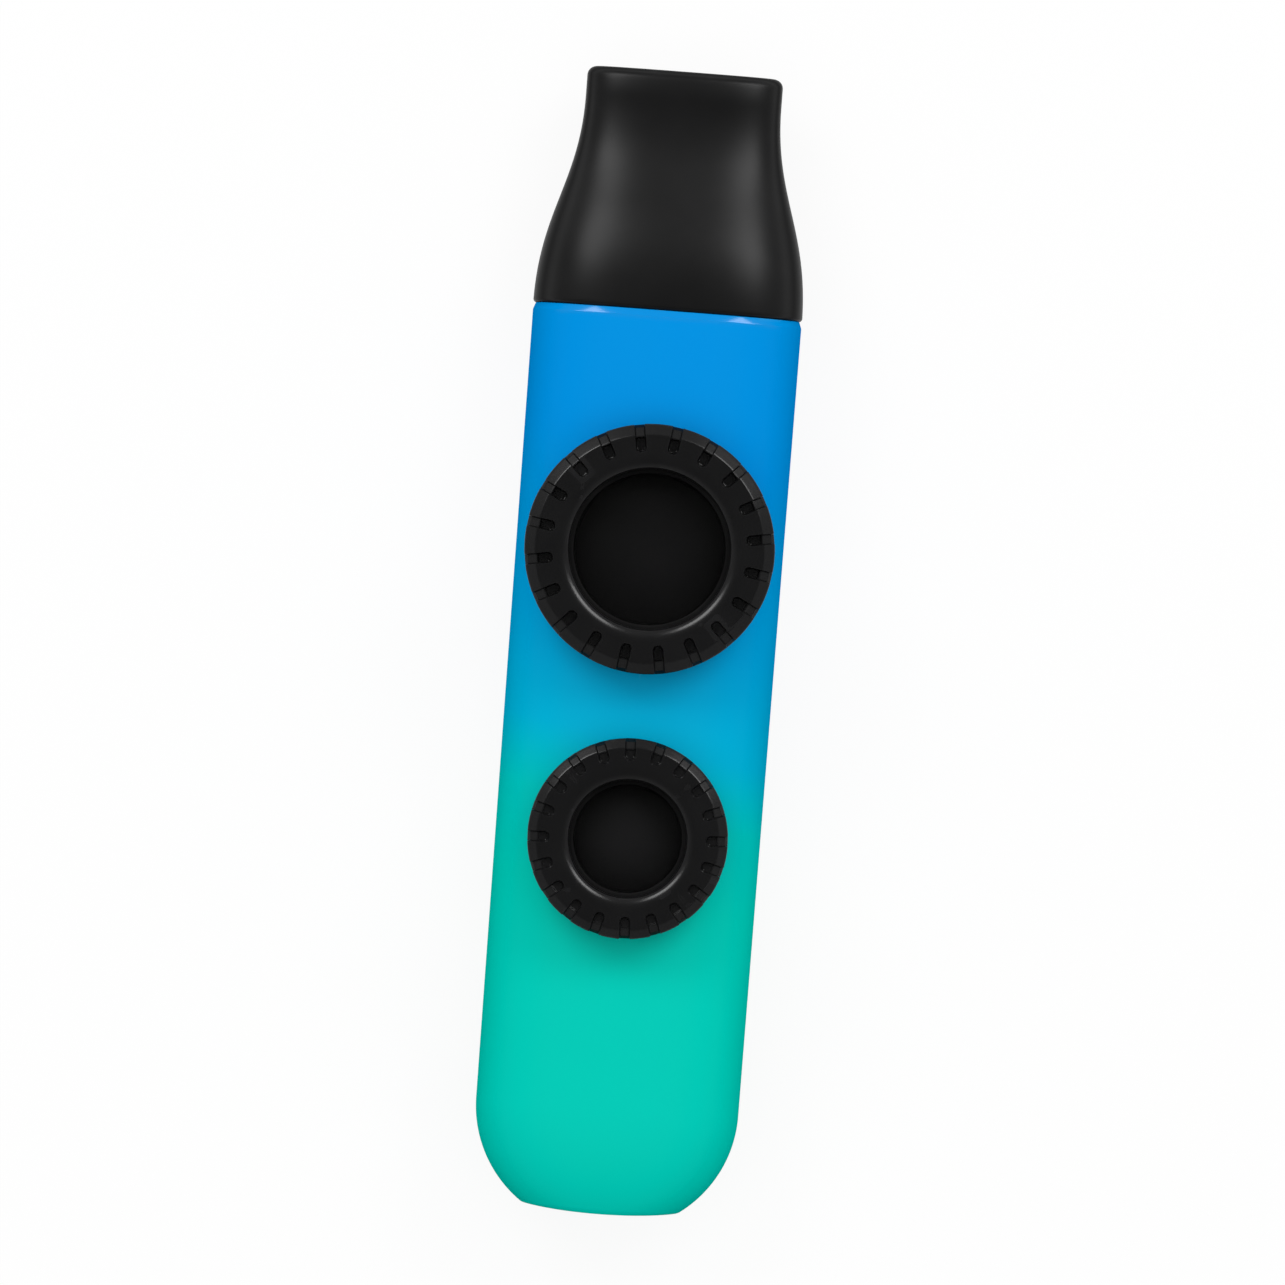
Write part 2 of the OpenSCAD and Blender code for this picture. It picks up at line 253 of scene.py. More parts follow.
def combine(base: Piece, tool: Piece, cut: Cut) -> None:
    """Joins a tool to a solid or takes it away, and removes the tool.

    Args:
        base: The solid that changes.
        tool: The solid that is used up.
        cut: What happens.
    """
    modifier = base.modifiers.new("cut", "BOOLEAN")
    modifier.object = tool
    modifier.operation = cut.value
    modifier.solver = "MANIFOLD"
    graph = bpy.context.evaluated_depsgraph_get()
    made = bpy.data.meshes.new_from_object(base.evaluated_get(graph))
    made.materials.clear()
    base.modifiers.clear()
    used = [base.data, tool.data]
    base.data = made
    bpy.data.objects.remove(tool)
    for mesh in used:
        bpy.data.meshes.remove(mesh)


def dress(
    piece: Piece, crease: float, finishes: Sequence["Finish"], node: str, body: str
) -> None:
    """Shades a piece smoothly between its creases and gives it finishes and a place.

    Args:
        piece: The piece, in place.
        crease: Angle between faces, in degrees, from which an edge stays sharp.
        finishes: Finishes, in the order of the faces' material numbers.
        node: Solid of the frame that it stands for.
        body: Body that it rides on.
    """
    mesh = piece.data
    mesh.polygons.foreach_set("use_smooth", [True] * len(mesh.polygons))
    mesh.set_sharp_from_angle(angle=math.radians(crease))
    mesh.update()
    for finish in finishes:
        mesh.materials.append(finish.material())
    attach(piece, body)
    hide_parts(node)
    LOG.info("%s: %d faces, rides on %s", piece.name, len(mesh.polygons), body)


def rounded_path(corners: Sequence[tuple[float, float, float]], steps: int = 5) -> np.ndarray:
    """Outline through corners with their roundings.

    Args:
        corners: Radius, height and rounding of each corner of a closed outline.
        steps: Points on each rounding.

    Returns:
        Radius and height of each point.
    """
    made: list[np.ndarray] = []
    total = len(corners)
    for index, (radius, height, rounding) in enumerate(corners):
        here = np.array([radius, height])
        before = np.array(corners[index - 1][:2]) - here
        after = np.array(corners[(index + 1) % total][:2]) - here
        before /= np.linalg.norm(before)
        after /= np.linalg.norm(after)
        if rounding <= 0:
            made.append(here)
            continue
        half = math.acos(float(np.clip(before @ after, -1, 1))) / 2
        reach = rounding / math.tan(half)
        start, end = here + before * reach, here + after * reach
        deepest = reach * math.cos(half) - rounding * (1 - math.sin(half))
        inward = -(before + after) / np.linalg.norm(before + after)
        for step in range(steps + 1):
            share = step / steps
            bow = inward * (math.sin(math.pi * share) * deepest)
            made.append(start * (1 - share) + end * share + bow)
    return np.array(made)


def revolve(
    path: np.ndarray, centre: tuple[float, float], columns: int, shape: Optional[Shape] = None
) -> np.ndarray:
    """Turns an outline round a vertical axis.

    Args:
        path: Radius and height of each point.
        centre: X and Y of the axis.
        columns: Points round the axis.
        shape: Changes the radius by radius, height and turn.

    Returns:
        The points, by row and column.
    """
    turn = round_turns(columns)[None, :]
    radius, height = path[:, :1], path[:, 1:] + 0.0 * turn
    spread = shape(radius, path[:, 1:], turn) if shape else radius + 0.0 * turn
    x, y = centre[0] + spread * np.cos(turn), centre[1] + spread * np.sin(turn)
    return np.stack([x, y, height], axis=-1)


def plug(path: np.ndarray, centre: tuple[float, float], columns: int, name: str) -> Piece:
    """Solid of revolution that reaches its axis.

    Args:
        path: Radius and height of its outline from bottom to top, without the axis.
        centre: X and Y of the axis.
        columns: Points round the axis.
        name: Name of the object.

    Returns:
        The solid.
    """
    draft = Draft()
    points = revolve(path, centre, columns)
    draft.barrel(points, (*centre, path[0, 1]), (*centre, path[-1, 1]))
    return draft.finish(name)


# Finishes


class Graph:
    """Places and links the nodes of one material, world or group."""

    def __init__(self, tree: bpy.types.NodeTree) -> None:
        """Keeps the tree that the nodes go into."""
        self.tree = tree

    def fill(self, made: bpy.types.Node, values: dict) -> bpy.types.Node:
        """Sets or links the inputs of a node.

        Args:
            made: The node.
            values: Inputs by name or number, as plain values or as sockets to link.

        Returns:
            The same node.
        """
        for name, value in values.items():
            if isinstance(value, Socket):
                self.tree.links.new(value, made.inputs[name])
            else:
                made.inputs[name].default_value = value
        return made

    def node(self, kind: str, values: Optional[dict] = None, **settings: object) -> bpy.types.Node:
        """Places a node.

        Args:
            kind: Type of the node, without its ShaderNode beginning.
            values: Inputs by name or number, as plain values or as sockets to link.
            settings: Attributes of the node.

        Returns:
            The node.
        """
        made = self.tree.nodes.new("ShaderNode" + kind)
        for name, value in settings.items():
            setattr(made, name, value)
        return self.fill(made, values or {})

    def math(self, how: str, *values: object) -> Socket:
        """Result of a Math node with an operation and its inputs, in order."""
        return self.node("Math", dict(enumerate(values)), operation=how).outputs[0]

    def blend(self, share: object, first: object, second: object) -> Socket:
        """Colour between two colours, by the share of the second."""
        made = self.node("Mix", {0: share, 6: first, 7: second}, data_type="RGBA")
        return made.outputs[2]

    def stretch(
        self, value: Socket, low: object, high: object, start: object = 0.0, end: object = 1.0,
        smooth: bool = False
    ) -> Socket:
        """Maps a value from one range to another and holds it there.

        Args:
            value: The value.
            low: Value that gives the start.
            high: Value that gives the end.
            start: Result at low.
            end: Result at high.
            smooth: Whether the way between eases in and out.

        Returns:
            The result.
        """
        ranges = {"Value": value, "From Min": low, "From Max": high, "To Min": start, "To Max": end}
        how = "SMOOTHSTEP" if smooth else "LINEAR"
        return self.node("MapRange", ranges, interpolation_type=how).outputs[0]

    def noise(self, place: object, scale: object, detail: float, seed: float) -> Socket:
        """Noise in space.

        Args:
            place: Coordinates, in metres.
            scale: Cells in a metre.
            detail: Octaves.
            seed: Shift that makes this noise its own.

        Returns:
            Values round 0.5.
        """
        moved = self.node("VectorMath", {0: place, 1: (seed, -seed, seed / 2)}, operation="ADD")
        inputs = {"Vector": moved.outputs[0], "Scale": scale, "Detail": detail}
        return self.node("TexNoise", inputs).outputs["Fac"]

    def bump(self, height: Socket, strength: float, depth: float) -> Socket:
        """Normals of fine relief of a height, a strength and a depth in metres."""
        values = {"Height": height, "Strength": strength, "Distance": depth}
        return self.node("Bump", values).outputs[0]

    def shown_ray(self) -> Socket:
        """Tells rays that show their end: to the camera, in a gloss or through glass.

        Returns:
            1 for such a ray and 0 for others.
        """
        kind = self.node("LightPath").outputs
        seen = self.math("MAXIMUM", kind["Is Camera Ray"], kind["Is Glossy Ray"])
        return self.math("MAXIMUM", seen, kind["Is Transmission Ray"])


class Effect:
    """Effect that materials share: a shader group, made once and placed with own values."""

    group: ClassVar[str]
    vectors: ClassVar[tuple[str, ...]]
    numbers: ClassVar[tuple[str, ...]]
    results: ClassVar[tuple[str, ...]]

    def inside(self, inner: Graph, given: bpy.types.NodeOutputs) -> tuple[Socket, ...]:
        """Makes what the group does; each effect has its own.

        Args:
            inner: Graph of the group.
            given: The group's inputs.

        Returns:
            The sockets for the group's results, in order.
        """
        raise NotImplementedError

    def place(self, graph: Graph, **linked: Socket) -> bpy.types.NodeOutputs:
        """Places the effect in a material, and makes its group where that is missing.

        Args:
            graph: The material's graph.
            linked: Sockets that feed the group's inputs of these names.

        Returns:
            The outputs of the group's node.
        """
        names = {key: key.replace("_", " ").title() for key in (*linked, *self.numbers)}
        tree = bpy.data.node_groups.get(self.group)
        if tree is None:
            tree = bpy.data.node_groups.new(self.group, "ShaderNodeTree")
            for key, name in names.items():
                kind = "NodeSocketVector" if key in self.vectors else "NodeSocketFloat"
                tree.interface.new_socket(name, in_out="INPUT", socket_type=kind)
            for name in self.results:
                tree.interface.new_socket(name, in_out="OUTPUT", socket_type="NodeSocketFloat")
            inner = Graph(tree)
            made = self.inside(inner, tree.nodes.new("NodeGroupInput").outputs)
            inner.fill(tree.nodes.new("NodeGroupOutput"), dict(zip(self.results, made)))
        placed = graph.tree.nodes.new("ShaderNodeGroup")
        placed.node_tree = tree
        values = {name: linked[key] if key in linked else getattr(self, key)
                  for key, name in names.items()}
        return graph.fill(placed, values).outputs


@dataclass(frozen=True)
class MouldedGrain(Effect):
    """Fine grain and broad mottling that a moulded or sprayed surface has."""

    group: ClassVar[str] = "moulded_grain"
    vectors: ClassVar[tuple[str, ...]] = ("coordinates",)
    numbers: ClassVar[tuple[str, ...]] = ("grain_scale", "mottle_scale", "roughness", "spread")
    results: ClassVar[tuple[str, ...]] = ("Roughness", "Height", "Shade")
    grain_scale: float = 4200.0
    mottle_scale: float = 160.0
    roughness: float = 0.4
    spread: float = 0.08

    def inside(self, inner: Graph, given: bpy.types.NodeOutputs) -> tuple[Socket, ...]:
        """Makes roughness that drifts with the grain, the grain's height and the mottling.

        Args:
            inner: Graph of the group.
            given: The group's inputs.

        Returns:
            Roughness, height and shade.
        """
        fine = inner.noise(given["Coordinates"], given["Grain Scale"], 3.0, 0.13)
        broad = inner.noise(given["Coordinates"], given["Mottle Scale"], 2.0, 0.57)
        small, large = inner.math("MULTIPLY", fine, 0.4), inner.math("MULTIPLY", broad, 0.6)
        mixed = inner.math("ADD", small, large)
        drift = inner.math("MULTIPLY", inner.math("SUBTRACT", mixed, 0.5), given["Spread"])
        return inner.math("ADD", given["Roughness"], drift), fine, broad


@dataclass(frozen=True)
class EdgeRub(Effect):
    """Patchy mask along outside edges, where handling polishes the surface."""

    group: ClassVar[str] = "edge_rub"
    vectors: ClassVar[tuple[str, ...]] = ("coordinates",)
    numbers: ClassVar[tuple[str, ...]] = ("start", "width", "patch_scale")
    results: ClassVar[tuple[str, ...]] = ("Mask",)
    start: float = 0.53
    width: float = 0.08
    patch_scale: float = 300.0

    def inside(self, inner: Graph, given: bpy.types.NodeOutputs) -> tuple[Socket, ...]:
        """Makes the mask, which grows with the pointiness of the shape.

        Args:
            inner: Graph of the group.
            given: The group's inputs.

        Returns:
            The mask.
        """
        end = inner.math("ADD", given["Start"], given["Width"])
        raised = inner.stretch(given["Pointiness"], given["Start"], end)
        patches = inner.noise(given["Coordinates"], given["Patch Scale"], 2.0, 0.91)
        return (inner.math("MULTIPLY", raised, patches),)


@dataclass(frozen=True)
class FacingGloss(Effect):
    """Clear gloss on front and back, which fades where the surface turns to the sides."""

    group: ClassVar[str] = "facing_gloss"
    vectors: ClassVar[tuple[str, ...]] = ("normals",)
    numbers: ClassVar[tuple[str, ...]] = ("weight", "dull_below", "full_above")
    results: ClassVar[tuple[str, ...]] = ("Weight",)
    weight: float
    roughness: float
    dull_below: float = 0.5
    full_above: float = 0.82

    def inside(self, inner: Graph, given: bpy.types.NodeOutputs) -> tuple[Socket, ...]:
        """Makes the weight of the coat, a little patchy, from the surface's own directions.

        Args:
            inner: Graph of the group.
            given: The group's inputs.

        Returns:
            The weight.
        """
        up = inner.math("ABSOLUTE", inner.node("SeparateXYZ", {0: given["Normals"]}).outputs["Z"])
        facing = inner.stretch(up, given["Dull Below"], given["Full Above"], smooth=True)
        patchy = inner.math("ADD", inner.math("MULTIPLY", given["Mottle"], 0.4), 0.8)
        return (inner.math("MULTIPLY", facing, inner.math("MULTIPLY", patchy, given["Weight"])),)


@dataclass(frozen=True)
class Surface:
    """Effects of one material, placed: its grain, its rubbed edges and its gloss."""

    grain: bpy.types.NodeOutputs
    rubbed: Socket
    coat: Socket

    @classmethod
    def of(cls, graph: Graph, place: Socket, grain: MouldedGrain, rub: EdgeRub,
           gloss: FacingGloss) -> "Surface":
        """Places the three effects.

        Args:
            graph: The material's graph.
            place: Object coordinates.
            grain: The grain.
            rub: The rubbed edges.
            gloss: The gloss.

        Returns:
            Their outputs.
        """
        placed = grain.place(graph, coordinates=place)
        pointed = graph.node("NewGeometry").outputs["Pointiness"]
        rubbed = rub.place(graph, coordinates=place, pointiness=pointed)["Mask"]
        normals = graph.node("TexCoord").outputs["Normal"]
        coat = gloss.place(graph, normals=normals, mottle=placed["Shade"])["Weight"]
        return cls(placed, rubbed, coat)


class Finish:
    """A finish that is made once and shared by the pieces that have it."""

    name: str

    def material(self) -> bpy.types.Material:
        """Gives the material, made on first use.

        Returns:
            The material.
        """
        found = bpy.data.materials.get(self.name)
        if found:
            return found
        made = bpy.data.materials.new(self.name)
        made.use_nodes = True
        made.node_tree.nodes.clear()
        graph = Graph(made.node_tree)
        place = graph.node("TexCoord").outputs["Object"]
        graph.node("OutputMaterial", {"Surface": self.build(graph, place)})
        return made

    def build(self, graph: Graph, place: Socket) -> Socket:
        """Makes the shader; each finish has its own.

        Args:
            graph: The material's graph.
            place: Object coordinates.

        Returns:
            The shader.
        """
        raise NotImplementedError


@dataclass(frozen=True)
class FadedPaint(Finish):
    """Satin paint that fades along the body from blue at the joint to teal at the far end."""

    joint_y: float
    end_y: float
    name: str = "satin_fade_paint"
    tilt: float = 0.17
    drift: float = 1.6 * MM
    drift_scale: float = 45.0
    specular: float = 0.0
    relief: float = 0.015
    relief_depth: float = 0.05 * MM
    flat_gloss: float = 0.1
    lip: float = 0.8 * MM
    mottle_share: float = 0.05
    rub_share: float = 0.25
    grain: MouldedGrain = MouldedGrain(2600.0, 90.0, 0.3, 0.06)
    rub: EdgeRub = EdgeRub(0.56, 0.1, 240.0)
    gloss: FacingGloss = FacingGloss(1.0, 0.12, 0.74, 0.88)

    def stops(self) -> list[tuple[float, Colour]]:
        """Colours of the fade, with their places along the body, from the joint onwards."""
        return [
            (22.0 * MM, srgb(0, 139, 217)),
            (1.0 * MM, srgb(0, 156, 212)),
            (-11.0 * MM, srgb(0, 171, 208)),
            (-18.5 * MM, srgb(0, 193, 187)),
            (-28.0 * MM, srgb(0, 199, 180)),
            (-46.0 * MM, srgb(0, 197, 178)),
        ]

    def fade(self, graph: Graph, place: Socket) -> Socket:
        """Makes the fade, aslant and slightly wavy.

        Args:
            graph: The material's graph.
            place: Object coordinates.

        Returns:
            The colour.
        """
        split = graph.node("SeparateXYZ", {0: place}).outputs
        cloud = graph.math("SUBTRACT", graph.noise(place, self.drift_scale, 2.0, 0.29), 0.5)
        along = graph.math("ADD", split["Y"], graph.math("MULTIPLY", split["X"], self.tilt))
        wavering = graph.math("ADD", along, graph.math("MULTIPLY", cloud, self.drift))
        ramp = graph.node("ValToRGB", {"Fac": graph.stretch(wavering, self.joint_y, self.end_y)})
        marks = ramp.color_ramp.elements
        for y, colour in self.stops():
            marks.new((self.joint_y - y) / (self.joint_y - self.end_y)).color = (*colour, 1.0)
        marks.remove(marks[0])
        marks.remove(marks[len(marks) - 1])
        return ramp.outputs["Color"]

    def build(self, graph: Graph, place: Socket) -> Socket:
        """Makes the paint's shader, with more gloss on the lip at the joint.

        Args:
            graph: The material's graph.
            place: Object coordinates.

        Returns:
            The shader.
        """
        deep, pale = (0.0, 0.32, 0.5, 1.0), (0.25, 0.72, 0.8, 1.0)
        surface = Surface.of(graph, place, self.grain, self.rub, self.gloss)
        mottle = graph.math("MULTIPLY", surface.grain["Shade"], self.mottle_share)
        mottled = graph.blend(mottle, self.fade(graph, place), deep)
        rubbed = graph.blend(graph.math("MULTIPLY", surface.rubbed, self.rub_share), mottled, pale)
        along = graph.node("SeparateXYZ", {0: place}).outputs["Y"]
        on_lip = graph.stretch(along, self.joint_y - 1.5 * self.lip, self.joint_y - self.lip,
                               self.flat_gloss)
        relief = graph.bump(surface.grain["Height"], self.relief, self.relief_depth)
        return graph.node("BsdfPrincipled", {
            "Base Color": rubbed,
            "Roughness": surface.grain["Roughness"],
            "Normal": relief,
            "Specular IOR Level": self.specular,
            "Coat Weight": graph.math("MULTIPLY", surface.coat, on_lip),
            "Coat Roughness": self.gloss.roughness,
        }).outputs[0]


@dataclass(frozen=True)
class BlackPlastic(Finish):
    """Black moulded plastic with grain and lighter, smoother edges."""

    name: str
    dark: float
    light: float
    edge: float = 0.03
    edge_roughness: float = 0.28
    blue: float = 1.04
    specular: float = 0.03
    relief: float = 0.12
    relief_depth: float = 0.03 * MM
    grain: MouldedGrain = MouldedGrain()
    rub: EdgeRub = EdgeRub()
    gloss: FacingGloss = FacingGloss(0.9, 0.3)

    def build(self, graph: Graph, place: Socket) -> Socket:
        """Makes the plastic's shader.

        Args:
            graph: The material's graph.
            place: Object coordinates.

        Returns:
            The shader.
        """
        dark, light, edge = (grey(tone, self.blue) for tone in (self.dark, self.light, self.edge))
        surface = Surface.of(graph, place, self.grain, self.rub, self.gloss)
        mottled = graph.blend(surface.grain["Shade"], dark, light)
        values = {0: surface.rubbed, 2: surface.grain["Roughness"], 3: self.edge_roughness}
        smooth = graph.node("Mix", values, data_type="FLOAT").outputs[0]
        return graph.node("BsdfPrincipled", {
            "Base Color": graph.blend(surface.rubbed, mottled, edge),
            "Roughness": smooth,
            "Normal": graph.bump(surface.grain["Height"], self.relief, self.relief_depth),
            "Specular IOR Level": self.specular,
            "Coat Weight": surface.coat,
            "Coat Roughness": self.gloss.roughness,
        }).outputs[0]


@dataclass(frozen=True)
class SmokyFilm(Finish):
    """Thin smoky film that lets the dark air chamber show through, with painted light that makes it
    paler in its middle and painted shade towards its rim.
    """

    centre: tuple[float, float, float]
    radius: float
    middle_tone_with_painted_light: float
    name: str
    rim_painted_shade: float = 0.0025
    blue: float = 1.05
    cover: float = 0.86
    cover_drift: float = 0.16
    cloud_scale: float = 180.0
    patch_share: float = 0.6
    patch_least: float = 0.7
    specular: float = 0.2
    relief: float = 0.1
    relief_depth: float = 0.1 * MM
    grain: MouldedGrain = MouldedGrain(1800.0, 260.0, 0.36, 0.12)

    def build(self, graph: Graph, place: Socket) -> Socket:
        """Makes the film's shader, with painted light that makes it palest in its middle and
        painted shade that darkens it towards its rim.

        Args:
            graph: The material's graph.
            place: Object coordinates.

        Returns:
            The shader.
        """
        grain = self.grain.place(graph, coordinates=place)
        cloud = graph.noise(place, self.cloud_scale, 4.0, 0.71)
        # Painted light and shade: the base colour runs from a darker rim to a paler middle by
        # distance from the film's centre.
        away = graph.node("VectorMath", {0: place, 1: self.centre}, operation="DISTANCE")
        painted_light_share = graph.stretch(away.outputs["Value"], self.radius, 0.0, smooth=True)
        patches = graph.math("MULTIPLY", cloud, self.patch_share)
        patchy = graph.math("ADD", patches, self.patch_least)
        mottled = graph.math("MULTIPLY", painted_light_share, patchy)
        drift = graph.math("MULTIPLY", graph.math("SUBTRACT", cloud, 0.5), self.cover_drift)
        return graph.node("BsdfPrincipled", {
            "Base Color": graph.blend(mottled, grey(self.rim_painted_shade), grey(self.middle_tone_with_painted_light, self.blue)),
            "Roughness": grain["Roughness"],
            "Alpha": graph.math("ADD", drift, self.cover),
            "Normal": graph.bump(cloud, self.relief, self.relief_depth),
            "Specular IOR Level": self.specular,
        }).outputs[0]


@dataclass(frozen=True)
class DarkCard(Finish):
    """Dark pressed card of the frames that the films are stretched on."""

    name: str = "pressed_card"
    fibre_scale: float = 1500.0
    fibre_twist: float = 2.5
    relief: float = 0.35
    relief_depth: float = 0.04 * MM
    grain: MouldedGrain = MouldedGrain(3600.0, 500.0, 0.82, 0.14)

    def build(self, graph: Graph, place: Socket) -> Socket:
        """Makes the card's shader.

        Args:
            graph: The material's graph.
            place: Object coordinates.

        Returns:
            The shader.
        """
        dark, light = (0.018, 0.017, 0.016, 1.0), (0.06, 0.057, 0.052, 1.0)
        grain = self.grain.place(graph, coordinates=place)
        values = {"Vector": place, "Scale": self.fibre_scale, "Detail": 4.0,
                  "Distortion": self.fibre_twist}
        fibres = graph.node("TexNoise", values).outputs["Fac"]
        height = graph.math("ADD", fibres, grain["Height"])
        return graph.node("BsdfPrincipled", {
            "Base Color": graph.blend(fibres, dark, light),
            "Roughness": grain["Roughness"],
            "Normal": graph.bump(height, self.relief, self.relief_depth),
        }).outputs[0]


# Body and mouthpiece


@dataclass(frozen=True)
class Station:
    """One cross-section of the body or the mouthpiece."""

    y: float
    half_w: float
    half_t: float
    bow: float = 0.0

    def inside(self, inset: float) -> "Station":
        """The same station, drawn in all round."""
        return Station(self.y, self.half_w - inset, self.half_t - inset, self.bow)


@dataclass(frozen=True)
class Section:
    """Flattened cross-section, an ellipse bent towards a box, cut flat where it rests."""

    mid_z: float
    power: float = 2.8
    columns: int = 208
    samples: int = 40001

    def turns(self, half_w: float, half_t: float, seams: Sequence[float] = ()) -> np.ndarray:
        """Turns at which the points lie evenly spaced round the section.

        Args:
            half_w: Half width that the spacing is measured on.
            half_t: Half thickness that the spacing is measured on.
            seams: Distances from the side edges at which extra points lie.

        Returns:
            The turns, from 0 at the +X edge.
        """
        turn = np.linspace(0.0, 2.0 * math.pi, self.samples)
        x, z = half_w * self.bend(np.cos(turn)), half_t * self.bend(np.sin(turn))
        run = np.concatenate([[0.0], np.cumsum(np.hypot(np.diff(x), np.diff(z)))])
        places = np.linspace(0.0, run[-1], self.columns, endpoint=False)
        extra = [(edge + side * seam) % run[-1] for edge in (0.0, run[-1] / 2)
                 for seam in seams for side in (-1, 1)]
        return np.interp(np.unique(np.concatenate([places, extra])), run, turn)

    def bend(self, value: np.ndarray) -> np.ndarray:
        """Bends a sine or cosine so that a circle turns into a rounded box."""
        return np.sign(value) * np.abs(value) ** (2.0 / self.power)

    def ring(self, turns: np.ndarray, station: Station) -> np.ndarray:
        """Points round one station.

        Args:
            turns: Turns of the points.
            station: Where the section is and how large.

        Returns:
            The points.
        """
        across, up = self.bend(np.cos(turns)), self.bend(np.sin(turns))
        y = station.y - station.bow * (1 - across * across)
        z = np.maximum(self.mid_z + station.half_t * up, 0.0)
        return np.stack([station.half_w * across, y, z], axis=-1)

    def rings(self, turns: np.ndarray, stations: Sequence[Station]) -> np.ndarray:
        """Points round each of several stations, as rows."""
        return np.array([self.ring(turns, station) for station in stations])


@dataclass
class BodyShell:
    """Hollow painted body with pads for the turrets and a slot for the air at its far end."""

    width: float = 30.0 * MM
    taper: float = 0.7 * MM
    wall: float = 1.8 * MM
    corner_r: float = 13.8 * MM
    corner_cut: float = 1.93 * MM
    end_bow: float = 0.53 * MM
    end_round: float = 1.0 * MM
    nose_drop: float = 2.6 * MM
    lip_bevel_len: float = 0.72 * MM
    lip_bevel_drop: float = 0.21 * MM
    lip_break: float = 0.12 * MM
    rest_flat: float = 0.15 * MM
    thick: float = 18.0 * MM
    outlet_w: float = 12.0 * MM
    outlet_h: float = 6.0 * MM
    outlet_round: float = 0.5 * MM
    outlet_overrun: float = 1.5 * MM
    end_wall: float = 2.2 * MM
    overrun: float = 1.0 * MM
    pad_round: float = 0.2 * MM
    row_gap: float = 1.25 * MM
    lip_steps: int = 6
    nose_steps: int = 26
    end_steps: int = 9
    chamber_steps: int = 14
    outlet_steps: int = 8
    outlet_columns: int = 96
    pad_steps: int = 4
    pad_columns: int = 180
    socket_columns: int = 144
    cap_shares: tuple[float, ...] = (0.9, 0.8, 0.65, 0.45, 0.2)
    painted_share: float = 0.86
    painted_end: float = 1.2 * MM
    hair: float = 0.02 * MM
    crease: float = 32.0
    pads: list[tuple[float, float, float]] = field(default_factory=list)

    def __post_init__(self) -> None:
        """Takes the body's places from the frame."""
        low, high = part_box("body_shell")
        self.end_y, self.joint_y, self.pad_top = low.y, high.y, high.z
        self.half_t = (self.thick + self.rest_flat) / 2
        self.mid_z = self.thick - self.half_t
        self.end_w = self.width - self.taper
        self.corner_depth = self.corner_r - self.corner_cut
        self.corner_y = self.end_y + self.corner_depth
        self.corner_x = self.end_w / 2 - self.corner_r
        reach = self.corner_r - self.end_round
        rise = self.corner_depth - self.end_bow - self.end_round
        self.round_x = self.corner_x + math.sqrt(reach**2 - rise**2)
        self.meet = math.atan2(rise, self.round_x - self.corner_x)
        self.section = Section(self.mid_z)
        self.turns = self.section.turns(self.width / 2, self.half_t)

    def half_w(self, y: float) -> float:
        """Half width at a place between the joint and the far corners."""
        run = self.joint_y - self.corner_y
        return self.end_w / 2 + self.taper / 2 * (y - self.corner_y) / run

    def straight(self, y: float) -> Station:
        """Station between the joint and the far corners."""
        return Station(y, self.half_w(y), self.half_t)

    def nose(self, turn: float) -> Station:
        """Station of the nose at a turn of its corner.

        Args:
            turn: Turn, from 0 where the corner starts to a right angle on the end face.

        Returns:
            The station.
        """
        if turn <= self.meet:
            drop = self.nose_drop * (1 - math.cos(turn)) / (1 - math.cos(self.meet))
            return Station(self.corner_y - self.corner_r * math.sin(turn),
                           self.corner_x + self.corner_r * math.cos(turn), self.half_t - drop)
        share = (turn - self.meet) / (math.pi / 2 - self.meet)
        drop = self.nose_drop + self.end_round * (math.cos(self.meet) - math.cos(turn))
        return Station(self.end_y + self.end_bow + self.end_round * (1 - math.sin(turn)),
                       self.round_x + self.end_round * math.cos(turn), self.half_t - drop,
                       self.end_bow * share)

    def outside(self) -> Piece:
        """Makes the closed outside of the body.

        Returns:
            The solid.
        """
        bevel, drop, edge = self.lip_bevel_len, self.lip_bevel_drop, self.lip_break
        lip = rounded_path([(0.0, 2 * drop + edge, 0.0), (0.0, drop + edge / 2, edge),
                            (bevel, 0.0, 2 * edge), (2 * bevel, 0.0, 0.0)], self.lip_steps)
        stations = [self.straight(self.joint_y - depth).inside(inset) for depth, inset in lip[1:-1]]
        start = self.joint_y - 2 * bevel
        rows = int((start - self.corner_y) / self.row_gap)
        stations += [self.straight(y) for y in np.linspace(start, self.corner_y, rows + 1)[1:-1]]
        corner = np.linspace(0.0, self.meet, self.nose_steps + 1)
        face = np.linspace(self.meet, math.pi / 2, self.end_steps + 1)[1:]
        stations += [self.nose(turn) for turn in (*corner, *face)]
        rings = self.section.rings(self.turns, stations)
        last = stations[-1]
        caps = []
        for share in self.cap_shares:
            cap = rings[-1].copy()
            cap[:, 0] *= share
            cap[:, 1] = self.end_y + last.bow * (cap[:, 0] / last.half_w) ** 2
            cap[:, 2] = self.mid_z + (cap[:, 2] - self.mid_z) * share
            caps.append(cap)
        draft = Draft()
        draft.barrel(np.concatenate([rings, caps]), (0.0, stations[0].y, self.mid_z),
                     (0.0, self.end_y, self.mid_z))
        return draft.finish("body_shell_painted")

